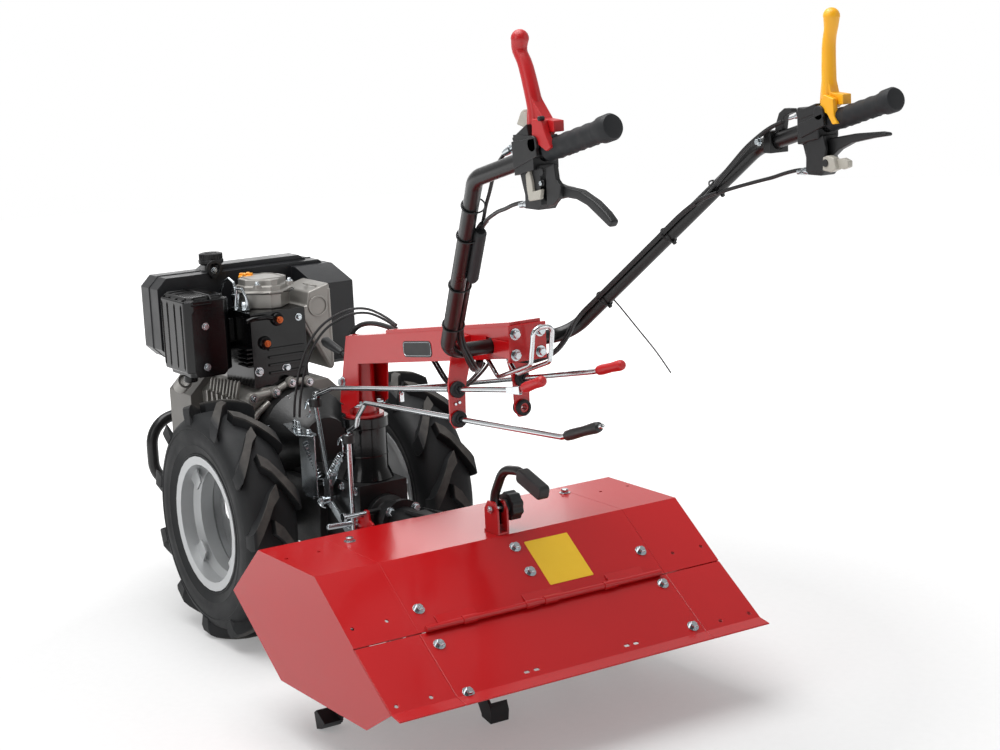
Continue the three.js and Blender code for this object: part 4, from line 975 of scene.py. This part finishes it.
# ---- Depth control ----
# A bent black lever with a flat rubber-covered grip turns between two red welded ears, and a
# fluted black knob on a threaded stud locks it.
keep("depth_ears", red_coat, 1)
arm_line = [at(-722, 0, 350), at(-716, 0, 401), at(-752, 0, 459), at(-806, 0, 466), at(-838, 0, 452)]
arm = [swept(rounded(arm_line, 48, 10), 8.5, 20)]
piece("depth_arm", "chassis", arm, powder_black, 0.6, ["depth_lever"])
grip_way = (at(-874, 0, 446) - at(-818, 0, 464)).normalized()
grip_up = Vector((-grip_way.z, 0, grip_way.x))
grip_depth = -22 if grip_way.cross(grip_up).y > 0 else 22
flat_grip = [slab(rounded_outline(78, 26, 8), at(-847, 11, 450), grip_way, grip_up, grip_depth)]
piece("depth_grip", "chassis", flat_grip, abs_black, 3)
knob_at = at(-726, -18, 381.3)
knob = [turned([(-10, 0), (-10, 11), (0, 15), (0, 0)], knob_at, (0, -1, 0), 32)]
lobed = []
for k in range(84):
    angle = 2 * math.pi * k / 84
    reach = 26 + 1.3 * math.cos(angle * 9)
    lobed.append((reach * math.cos(angle), reach * math.sin(angle)))
knob.append(slab(lobed, knob_at, (1, 0, 0), (0, 0, 1), 23))
piece("depth_knob", "chassis", knob, abs_black, 1.5)
stud = [swept([at(-726, -24, 381.3), at(-726, 20, 381.3)], 4, 16)]
stud += hexagon_head(at(-726, 12.5, 381.3), (0, 1, 0), 13, 6)
piece("depth_stud", "chassis", stud, zinc, 0.3)


# ---- Handlebar beam ----
# A welded red beam that turns on the steering column: two bent steel sides with a lid between
# them, a round flange at its foot, and a blank black plate on its left side.
keep("handlebar_beam", red_coat, 1.2)
beam_y = 35
plate_way = (at(-580.5, 0, 662.5) - at(-472.5, 0, 648.5)).normalized()
plate_up = Vector((-plate_way.z, 0, plate_way.x))
if plate_up.z < 0:
    plate_up = -plate_up


def black_foil():
    """A blank black name plate: thin anodised aluminium with a matt face."""
    return weathered_material(
        "black_foil", {"Metallic": 0.3}, ("#161617", "#1d1d1f"), 18, (0.34, 0.42), 1, 0.01,
    )


plate_depth = 0.8 if plate_way.cross(plate_up).y > 0 else -0.8
plate_outline = rounded_outline(106, 30, 9)
name_plate = [slab(plate_outline, at(-526.5, beam_y, 655.5), plate_way, plate_up, plate_depth)]
piece("blank_name_plate", "steering_head", name_plate, black_foil(), 0)
plate_face = at(-526.5, beam_y + 0.8, 655.5)
border = [plate_face + (plate_way * a + plate_up * b) / 1000 for a, b in rounded_outline(101, 25, 7)]
piece("name_plate_border", "steering_head", [swept(border, 0.5, 6, closed=True)], zinc, 0)
beam_bolts = hexagon_head(at(-222, beam_y, 549), (0, 1, 0), 13, 8, 11)
beam_bolts += hexagon_head(at(-222, -beam_y, 549), (0, -1, 0), 13, 8, 11)
for y in (24, -24):
    beam_bolts += hexagon_head(at(-262, y, 503), (0, 0, 1), 13, 9, 11)
fasteners("beam_bolts", "steering_head", beam_bolts)
swing_knob = [swept([at(-232, 24, 600), at(-206, 28, 606)], 4.5, 16)]
knob_line = [at(-212, 27, 605), at(-204, 28, 607), at(-158, 34, 622), at(-150, 35, 624)]
swing_knob.append(swept(knob_line, [6, 8, 10.5, 7.5], 24))
piece("column_lock_knob", "steering_head", swing_knob, abs_black, 0.8)


# ---- Handlebar clamp and its wire handle ----
# A red plate and jaw bolted over the beam's end hold the handlebar, and a bent handle of bright
# plated wire, hung on a pin between the beam's sides, lets it be tilted.
def bright_chrome():
    """Bright chrome plate on drawn steel rod: a mirror with faint drawing lines."""
    return weathered_material(
        "bright_chrome", {"Metallic": 1.0}, ("#d9dcde", "#c9cdd0"), 30, (0.1, 0.2), 1.2, 0.015,
    )


chrome = bright_chrome()
keep("handlebar_clamp", red_coat, 1.5)
clamp_face = -851.3
clamp_bolts = []
for y in (-26, 26):
    for z in (686, 723):
        clamp_bolts += hexagon_head(at(clamp_face, y, z), (-1, 0, 0), 13, 8, 10.5)
fasteners("clamp_bolts", "steering_head", clamp_bolts)
loop_wire = 4
pin_x = -742
# The beam's top climbs rearwards from its front end, and the pin lies just inside its lower edge.
beam_front_x, beam_front_top, beam_slope, beam_depth = -245, 645, 0.153, 57
pin_z = beam_front_top + (beam_front_x - pin_x) * beam_slope - beam_depth + loop_wire + 3
loop_side = [(pin_x, 20, pin_z), (-781, 20, 636), (-889, 20, 673), (-901, 20, 738)]
loop_line = [at(*p) for p in loop_side] + [at(x, -y, z) for x, y, z in reversed(loop_side)]
wire = [
    swept(rounded(loop_line, 13, 8), loop_wire, 20),
    swept([at(pin_x, -31.7, pin_z), at(pin_x, 31.7, pin_z)], 4.5, 20),
]
piece("release_loop_wire", "steering_head", wire, chrome, 0.4, ["release_loop"])


# ---- Shift rods and their guides ----
# Three bright plated rods run rearwards through black rubber bushes in red guide plates under
# the beam. Each ends in a moulded handle: red for the gears and the speed, black for the drive.
def red_nylon():
    """Red nylon, injection moulded: an even warm red with a soft shine."""
    return weathered_material(
        "red_nylon", {"IOR": 1.53, "Subsurface Weight": 0.04}, ("#b01015", "#ba151a"), 30, (0.34, 0.44),
        1, 0.012,
    )


def moulded_rubber():
    """Soft black moulded rubber: dull, with a fine leathery skin and a grey cast at the edges."""
    return weathered_material(
        "moulded_rubber", {"IOR": 1.52, "Specular IOR Level": 0.35}, ("#18191b", "#212326"), 25,
        (0.55, 0.7), 0.8, 0.1,
    )


red_plastic = red_nylon()
soft_rubber = moulded_rubber()
guide_x = -717
rod_y = 69
rod_radius = 5
bushes = {
    "left": ((612, 0.143), (558, 0.067)),
    "right": ((612, 0.193), (558, 0.067)),
}
for side, way in (("left", 1), ("right", -1)):
    keep(f"rod_guide_{side}", red_coat, 0.8)
    rings = []
    for z, slope in bushes[side]:
        # Nothing runs through the lower bush on the right.
        empty = side == "right" and z == 558
        bore = 9 if empty else 7
        middle = at(guide_x, way * rod_y, z)
        section = [(-10.5, bore), (-10.5, 13), (-8.6, 15), (8.6, 15), (10.5, 13), (10.5, bore)]
        rings.append(turned(section, middle, (1, 0, 0), 36, ring=True))
        if not empty:
            along = Vector((-1, 0, slope)).normalized()
            rings.append(turned([(-13, 5.4), (-13, 9), (13, 9), (13, 5.4)], middle, along, 28, ring=True))
    piece(f"guide_bushes_{side}", "steering_head", rings, soft_rubber, 0.8)
guide_screws = hexagon_head(at(guide_x - 2, 66, 588), (-1, 0, 0), 6, 3)
guide_screws += hexagon_head(at(guide_x - 2, 74, 586), (-1, 0, 0), 5, 3)
piece("guide_rivets", "steering_head", guide_screws, zinc, 0.2)


def along_guide(x, way, z, slope):
    """Where a rod is at x, on its straight run through its bush."""
    return at(x, way * rod_y, z + slope * (guide_x - x))


def rod_with_handle(name, places, tip, finish, tip_metal):
    """A bent rod with a tapered handle that carries on in a straight line from its end."""
    last = places[-1]
    way = (tip - last).normalized()
    end = last + way * 0.02
    rod = [swept(rounded(places + [end], 14, 8), rod_radius, 20)]
    piece(name + "_rod_bright", "steering_head", rod, chrome, 0.5, [name + "_rod"])
    length = (tip - end).length * 1000
    profile = [
        (-6, 0), (-6, 7), (-3, 8.6), (length * 0.12, 9.2), (length * 0.5, 8.4), (length * 0.86, 9.6),
        (length - 3, 8.4), (length, 5), (length, 0),
    ]
    handle = [turned(profile, end, way, 32)]
    piece(name + "_handle_moulded", "steering_head", handle, finish, 0.8, [name + "_handle"])
    if tip_metal:
        ferrule = [turned([(0, 0), (0, 4.4), (9, 4), (11, 0)], tip - way * 0.001, way, 20)]
        piece(name + "_rod_tip", "steering_head", ferrule, chrome, 0)


rod_with_handle(
    "shift",
    [at(-164, rod_y, 517.3), along_guide(-240, 1, 612, 0.143), along_guide(-925, 1, 612, 0.143)],
    at(-1000, rod_y, 669), red_plastic, False,
)
rod_with_handle(
    "drive",
    [
        at(-297, rod_y, 464.3), at(-331, rod_y, 482), at(-340, rod_y, 502),
        along_guide(-374, 1, 558, 0.067), along_guide(-1048, 1, 558, 0.067),
    ],
    at(-1158, rod_y, 616), abs_black, True,
)
rod_with_handle(
    "speed",
    [at(-272, -rod_y, 500), along_guide(-272, -1, 612, 0.193), along_guide(-950, -1, 612, 0.193)],
    at(-1036, -rod_y, 681), red_plastic, False,
)
eye = [turned([(-4, 0), (-4, 9), (4, 9), (4, 0)], at(-166, rod_y, 517.3), (0, 1, 0), 24)]
tongue = [(-20, -5.5), (22, -7.5), (22, 7.5), (-20, 5.5)]
tongue_place = along_guide(-915, 1, 612, 0.143) + Vector((0, 0.003, 0))
eye.append(slab(tongue, tongue_place, (-1, 0, 0.143), (0.143, 0, 1), 6))
piece("rod_flats", "steering_head", eye, chrome, 0.8)


# ---- Handlebar tube and grips ----
# One bent steel tube, powder-coated satin black, with a rubber grip pushed on each end. The
# grips have waves for the fingers underneath and a thick collar at the end.
grip_end = Vector((-1493, 263, 1124.6))
upper_bend = Vector((-1150, 277, 1034))
grip_line = (grip_end - upper_bend).normalized()


def on_grip(distance, way=1, aside=(0, 0, 0)):
    """The place that many mm in from a grip's end along its line, on the left or the right."""
    place = grip_end - grip_line * distance
    return at(place.x + aside[0], way * (place.y + aside[1]), place.z + aside[2])


half_bar = [
    (-786, 0, 695), (-786, 51, 695), (-793, 131, 697), tuple(upper_bend),
    tuple(grip_end - grip_line * 6),
]
bar_shapes = [swept([at(-786, -35, 695), at(-786, 35, 695)], 14.5, 32)]
for way in (1, -1):
    bar_shapes.append(swept(rounded([at(x, way * y, z) for x, y, z in half_bar], 60, 12), 13, 32))
piece("handlebar_bent_tube", "handlebar", bar_shapes, powder_black, 0, ["handlebar_tube"])
for side, way in (("left", 1), ("right", -1)):
    inward = on_grip(156, way) - on_grip(0, way)
    profile = [(0, 0), (0, 12), (1.5, 17), (6, 19.4), (24, 19.2), (31, 16.6)]
    profile += [(31 + 125 * k / 40, 16.3 + 0.5 * math.cos(2 * math.pi * k / 8)) for k in range(1, 40)]
    profile += [(154, 16.6), (156, 15.4), (156, 13.2), (156, 0)]
    waves = [turned(profile, on_grip(0, way), inward, 40)]
    wave = [(-8, 0), (-7, 5), (-4, 9.5), (0, 11.5), (4, 9.5), (7, 5), (8, 0)]
    for k in range(6):
        waves.append(turned(wave, on_grip(42 + 17 * k, way, (1, 0, -6.2)), inward, 24))
    piece(f"rubber_grip_{side}", "handlebar", waves, soft_rubber, 0, [f"grip_{side}"])


# ---- Lever brackets and levers ----
# Moulded black brackets are clamped round the bar in front of the grips. Each carries a tall
# hand lever, red or yellow, a black brake lever, a small grey catch and the cable adjusters.
def yellow_nylon():
    """Yellow nylon, injection moulded: warm egg yellow with a soft shine."""
    return weathered_material(
        "yellow_nylon", {"IOR": 1.53, "Subsurface Weight": 0.04}, ("#f3a90c", "#f7b41c"), 30,
        (0.34, 0.44), 1, 0.012,
    )


def stone_grey_abs():
    """Stone-grey ABS of the small catches: a pale warm grey with a dull shine."""
    return weathered_material(
        "stone_grey_abs", {"IOR": 1.52}, ("#aaa69c", "#b8b4aa"), 14, (0.4, 0.5), 0.9, 0.05,
    )


grey_plastic = stone_grey_abs()
for node in ("lever_bracket_left", "lever_bracket_right"):
    keep(node, abs_black, 3)
for node in ("brake_lever_left", "brake_lever_right"):
    keep(node, abs_black, 3.2, 50)
keep("throttle_lever", abs_black, 2.5)


def smooth_line(points, steps=4):
    """A curve through the places, Catmull-Rom between each pair."""
    line = []
    for i in range(len(points) - 1):
        p0, p1, p2 = points[max(i - 1, 0)], points[i], points[i + 1]
        p3 = points[min(i + 2, len(points) - 1)]
        for k in range(steps):
            t = k / steps
            square = 2 * p0 - 5 * p1 + 4 * p2 - p3
            cube = 3 * p1 - p0 - 3 * p2 + p3
            line.append(0.5 * (2 * p1 + (p2 - p0) * t + square * t * t + cube * t**3))
    return line + [points[-1]]


def side_plate(points, y, thickness):
    """A plate that stands along the machine: an outline of (x, z) in mm, from y to the left."""
    return slab(points, at(0, y, 0), (1, 0, 0), (0, 0, 1), -thickness)


def disc(x, y, z, radius, thickness):
    """A round boss whose axis runs across the machine, from y towards the left."""
    return turned([(0, 0), (0, radius), (thickness, radius), (thickness, 0)], at(x, y, z), (0, 1, 0), 28)


def hand_lever(name, node, way, places, height, finish):
    """A tall lever: a flat forked foot that hooks over the bar, and a round stem with a ball end."""
    foot, waist, top = places
    rear = grip_end - grip_line * 166
    foot_z = rear.z + 24.3
    outline = [
        (foot + 27, 0), (waist + 24, 0), (waist + 24, 8), (waist + 20, 40), (waist + 12, 62),
        (waist + 5, 50), (foot + 27, 24), (foot, 22), (foot, 6), (foot + 20, 5),
    ]
    y = way * rear.y
    shapes = [side_plate([(rear.x + x, foot_z + z) for x, z in outline], y - 9, 18)]
    stem = [
        (waist + 10, 14), (waist + 11, 36), ((waist + top) / 2 + 13, 95), (top + 10, height - 32),
        (top + 8.5, height - 14.5),
    ]
    line = smooth_line([at(rear.x + x, y, foot_z + z) for x, z in stem])
    sizes = [13 - 2.4 * min(1, i / 10) + 2.8 * max(0, (i - 11) / 5) for i in range(len(line))]
    shapes.append(swept(line, sizes, 24))
    ball = [(-3, 0), (-3, 13), (0, 13.5), (4, 12.9), (8, 10.9), (11, 8), (13, 4), (13.6, 0)]
    shapes.append(turned(ball, line[-1], line[-1] - line[-4], 28))
    piece(name, "handlebar", shapes, finish, 1.2, [node])


yellow_plastic = yellow_nylon()
hand_lever("hand_lever_red", "lever_red", 1, (-37, 10, 46), 151, red_plastic)
hand_lever(
    "hand_lever_yellow", "lever_yellow", -1, (-44, -14, -19), 156, yellow_plastic,
)
catch_outline = [
    (-1329, 1131), (-1354, 1129), (-1360, 1114), (-1374, 1092), (-1362, 1086), (-1348, 1092),
    (-1327, 1100),
]
left_catch = [side_plate(catch_outline, 279, 10)]
piece("catch_left", "handlebar", left_catch, red_plastic, 1.5)
catch_outline = [
    (-1345, 1128), (-1366, 1122), (-1368, 1096), (-1376, 1084), (-1364, 1082), (-1352, 1098),
    (-1333, 1106),
]
right_catch = [side_plate(catch_outline, -259, 10)]
piece("catch_right", "handlebar", right_catch, yellow_plastic, 1.5)
moulding = [
    disc(-1332, 286, 1095, 12, 7),
    side_plate([(-1278, 1096), (-1340, 1105), (-1344, 1078), (-1282, 1056)], 286, 7),
    side_plate([(-1276, 1101), (-1316, 1123), (-1321, 1104), (-1280, 1094)], 250, 40),
    disc(-1352, 283, 1132, 3.5, 10),
    side_plate([
        (-1350, 1062), (-1372, 1068), (-1376, 1046), (-1387, 1037), (-1382, 1020), (-1366, 1009),
        (-1350, 1005),
    ], 275, 8),
    disc(-1342, 282, 1055, 6, 4), disc(-1342, 282, 1039, 5, 3),
]
piece("bracket_moulding_left", "handlebar", moulding, abs_black, 1.6)
moulding = [
    disc(-1336, -252, 1099, 12, 7),
    side_plate([(-1286, 1080), (-1345, 1100), (-1350, 1080), (-1294, 1058)], -252, 7),
    side_plate([(-1280, 1099), (-1328, 1114), (-1330, 1098), (-1286, 1086)], -285, 38),
    side_plate([(-1300, 1052), (-1340, 1064), (-1346, 1044), (-1338, 1006), (-1298, 1004)], -257, 6),
]
piece("bracket_moulding_right", "handlebar", moulding, abs_black, 1.6)
catch = [
    side_plate([
        (-1306, 1050), (-1316, 1057), (-1322, 1040), (-1324, 1026), (-1346, 1031), (-1342, 1016),
        (-1312, 1011), (-1308, 1028),
    ], 282, 7),
    side_plate([(-1250, 1118), (-1262, 1136), (-1270, 1141), (-1282, 1128), (-1278, 1112)], 252, 12),
    side_plate([
        (-1340, 1009), (-1341, 1030), (-1352, 1033), (-1366, 1030), (-1372, 1012), (-1358, 1007),
    ], -262, 13),
    side_plate([
        (-1366, 1014), (-1366, 1028), (-1380, 1030), (-1392, 1026), (-1392, 1016), (-1380, 1012),
    ], -266, 10),
]
piece("lever_locks", "handlebar", catch, grey_plastic, 1.8)
lock_discs = [disc(-1348, -250, 1021, 6, 3)]
piece("lock_discs", "handlebar", lock_discs, abs_black, 0.5)
pale = hexagon_head(at(-1342, 285, 1039), (0, 1, 0), 7, 3)
pale += hexagon_head(at(-1191, -246, 1048), (0, 1, 0), 10, 5, 7)
for way, start in ((1, at(-1296, 269, 1005)), (-1, at(-1296, -269, 1005))):
    pull = Vector((1, 0, -0.12)).normalized()
    barrel = [(0, 0), (0, 5), (10, 5), (10, 6.6), (20, 6.6), (22, 5.4), (36, 5), (38, 0)]
    pale.append(turned(barrel, start, pull, 16))
barrel = [(0, 0), (0, 4.5), (10, 4.5), (10, 6.4), (22, 6.4), (30, 5), (32, 0)]
pale.append(turned(barrel, at(-1240, 262, 1085), Vector((1, 0, -0.4)), 16))
pale.append(swept([at(-1248, -262, 1086), at(-1290, -262, 1097)], 2.6, 12))
pale.append(turned([(0, 0), (0, 4), (12, 4), (12, 0)], at(-1264, -262, 1090), Vector((-1, 0, 0.25)), 12))
piece("cable_adjusters", "handlebar", pale, zinc, 0.3)


# ---- Control cables ----
# Black plastic-sheathed wire cables run from the adjusters down the handlebar and into the
# beam, and from under the beam's lid in an arc to the bracket beside the clutch bell. Cable
# ties and one ribbed sleeve hold them against the bar.
def cable_sheath():
    """Black polyethylene cable sheath, extruded: smooth, with a soft long shine."""
    return weathered_material(
        "cable_sheath", {"IOR": 1.51}, ("#121213", "#19191b"), 40, (0.3, 0.42), 2, 0.03,
    )


sheath = cable_sheath()


def strands(route, offsets, radius):
    """Cables side by side along one route in mm, each set off by (mm aside, mm up)."""
    line = smooth_line([at(*p) for p in route])
    made = []
    for aside, lift in offsets:
        moved = []
        for i, point in enumerate(line):
            tangent = (line[min(i + 1, len(line) - 1)] - line[max(i - 1, 0)]).normalized()
            sideways = tangent.cross(Vector((0, 0, 1))).normalized()
            moved.append(point + (sideways * aside + sideways.cross(tangent) * lift) / 1000)
        made.append(swept(moved, radius, 12))
    return made


def cable(name, body, shapes, stands_for=()):
    """Sheathed cables as one piece that rides on a body."""
    return piece(name, body, shapes, sheath, 0, stands_for)


front_route = [
    (-403.7, 6, 678.5), (-372, 7, 688), (-338, 9, 695), (-305, 11, 698.5), (-272, 15, 697),
    (-242, 20, 691), (-214, 28, 681), (-188, 38, 667), (-170, 46, 653), (-155, 53, 637),
    (-142, 59, 619), (-131, 64, 600), (-122, 69, 577), (-113, 74, 550), (-107, 77, 523),
    (-102, 80, 496), (-99, 82, 464),
]
front_shapes = strands(front_route, ((-2.5, 4.8), (2.5, -4.8)), 2.6)
front_cables = cable("cables_to_bracket", "steering_head", front_shapes, ["cables_front"])
front_cables.parent = None
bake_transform(front_cables)
hose_route = [
    (-403.7, -12, 661), (-378, -12, 664), (-350, -12, 667), (-315, -12, 669), (-280, -12, 668.5),
    (-245, -12, 664), (-214, -12, 655), (-192, -11, 642), (-176, -10, 622), (-167, -9, 595),
    (-161, -7, 560), (-158, -5, 520), (-157, -3, 475), (-157, -2, 430), (-158, 0, 390), (-158, 0, 352),
]
hose = cable("breather_hose", "steering_head", strands(hose_route, ((0, 0),), 5.2))
hose.parent = None
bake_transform(hose)
loop_route = [
    (-500, -6, 634), (-512, -6, 628), (-527, -5, 618), (-545, -4, 605), (-563, -3, 594),
    (-583, -3, 587), (-606, -4, 587), (-628, -5, 594), (-648, -6, 605), (-668, -7, 619),
    (-686, -8, 633), (-700, -8, 645),
]
cable("cable_loop_under_beam", "steering_head", strands(loop_route, ((-4, 0), (4, 2)), 2.7))

down_route = [
    (-1028, 207.5, 919), (-986.6, 190.4, 879.7), (-944.7, 173.3, 840.2), (-902.9, 156.1, 800.8),
    (-861.1, 139, 761.3), (-836, 128, 737), (-823, 118, 716), (-818, 106, 694), (-810, 93, 675),
    (-798, 80, 662), (-784, 68, 655), (-772, 58, 651), (-756, 44, 653), (-738, 30, 658),
    (-720, 20, 665), (-700, 12, 672),
]
left_route = [
    (-1296, 269.4, 1005), (-1265, 269, 1004), (-1240, 269, 999), (-1213, 266, 991), (-1187, 261, 985),
    (-1160, 254, 977), (-1128, 244, 967), (-1100, 233, 956), (-1070, 221, 945),
] + down_route
right_route = [
    (-1296, 269.4, 1005), (-1265, 269, 1004), (-1235, 266, 998), (-1205, 261, 989), (-1177, 255, 982),
    (-1150, 248, 975), (-1129, 241, 969), (-1101, 231, 960), (-1069, 220, 947),
] + down_route
for side, way, route in (("left", 1, left_route), ("right", -1, right_route)):
    route = [(x, way * y, z) for x, y, z in route]
    bundle = strands(route, ((0, 0),), 3.2) + strands(route[7:], ((-5.4, 1.5), (4.4, 3.4)), 2.7)
    cables = cable(f"bowden_cables_{side}", "handlebar", bundle, [f"cables_{side}"])
    cables.parent = None
    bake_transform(cables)
upper_route = [
    (-1212, 262, 1073), (-1190, 258, 1060), (-1168, 251, 1046), (-1150, 246, 1030), (-1130, 240, 1008),
    (-1108, 234, 985), (-1088, 227, 962), (-1064, 219, 940),
]
cable("throttle_cable_left", "handlebar", strands(upper_route, ((0, 0),), 3))
upper_right = [
    (-1240, -256, 1082), (-1215, -252, 1072), (-1190, -249, 1058), (-1165, -244, 1040),
    (-1140, -240, 1018), (-1112, -233, 990), (-1084, -226, 960), (-1060, -218, 938),
]
cable("throttle_cable_right", "handlebar", strands(upper_right, ((-3, 0), (3, 0)), 2.8))


def cable_tie(place, axis, bar_radius, toward, cable_reach):
    """A nylon tie drawn round the bar and the cables beside it, with its square head."""
    axis = Vector(axis).normalized()
    out = (toward - axis * toward.dot(axis)).normalized()
    aside = axis.cross(out)
    ring = []
    for k in range(28):
        angle = 2 * math.pi * k / 28
        stretch = cable_reach * max(0.0, math.cos(angle)) ** 2
        radius = bar_radius + 1.6 + stretch
        ring.append(place + (out * math.cos(angle) + aside * math.sin(angle)) * radius / 1000)
    head_at = place + (out * 0.2 + aside).normalized() * (bar_radius + 4) / 1000
    head = slab([(-3, -3), (3, -3), (3, 3), (-3, 3)], head_at - axis * 0.0025, out, aside, 5)
    return [swept(ring, 1.5, 8, closed=True), head]


bar_way = Vector((-357, 146, 337)).normalized()
ties = []
for way, shares in ((1, (0.18, 0.42, 0.7, 0.86)), (-1, (0.2, 0.55, 0.8))):
    for share in shares:
        x, y, z = (-793 - 357 * share, 131 + 146 * share, 697 + 337 * share)
        axis = Vector((bar_way.x, way * bar_way.y, bar_way.z))
        ties += cable_tie(at(x, way * y, z), axis, 13, Vector((0, -way, -0.3)), 8)
tail = smooth_line([
    at(-867, -172, 764), at(-880, -180, 748), at(-930, -181, 714), at(-980, -181, 681),
    at(-1022, -180, 649),
])
ties.append(swept(tail, 1.4, 8))
piece("cable_ties", "handlebar", ties, abs_black, 0)
ribs = [(4 + 3 * k, 9.5 + 0.8 * (k % 2)) for k in range(45)]
sleeve_profile = [(0, 0), (0, 7)] + ribs + [(142, 7), (142, 0)]
sleeve = [turned(sleeve_profile, at(-1072, 223, 942), Vector((357, -146, -337)), 20)]
piece("cable_sleeve", "handlebar", sleeve, soft_rubber, 0)
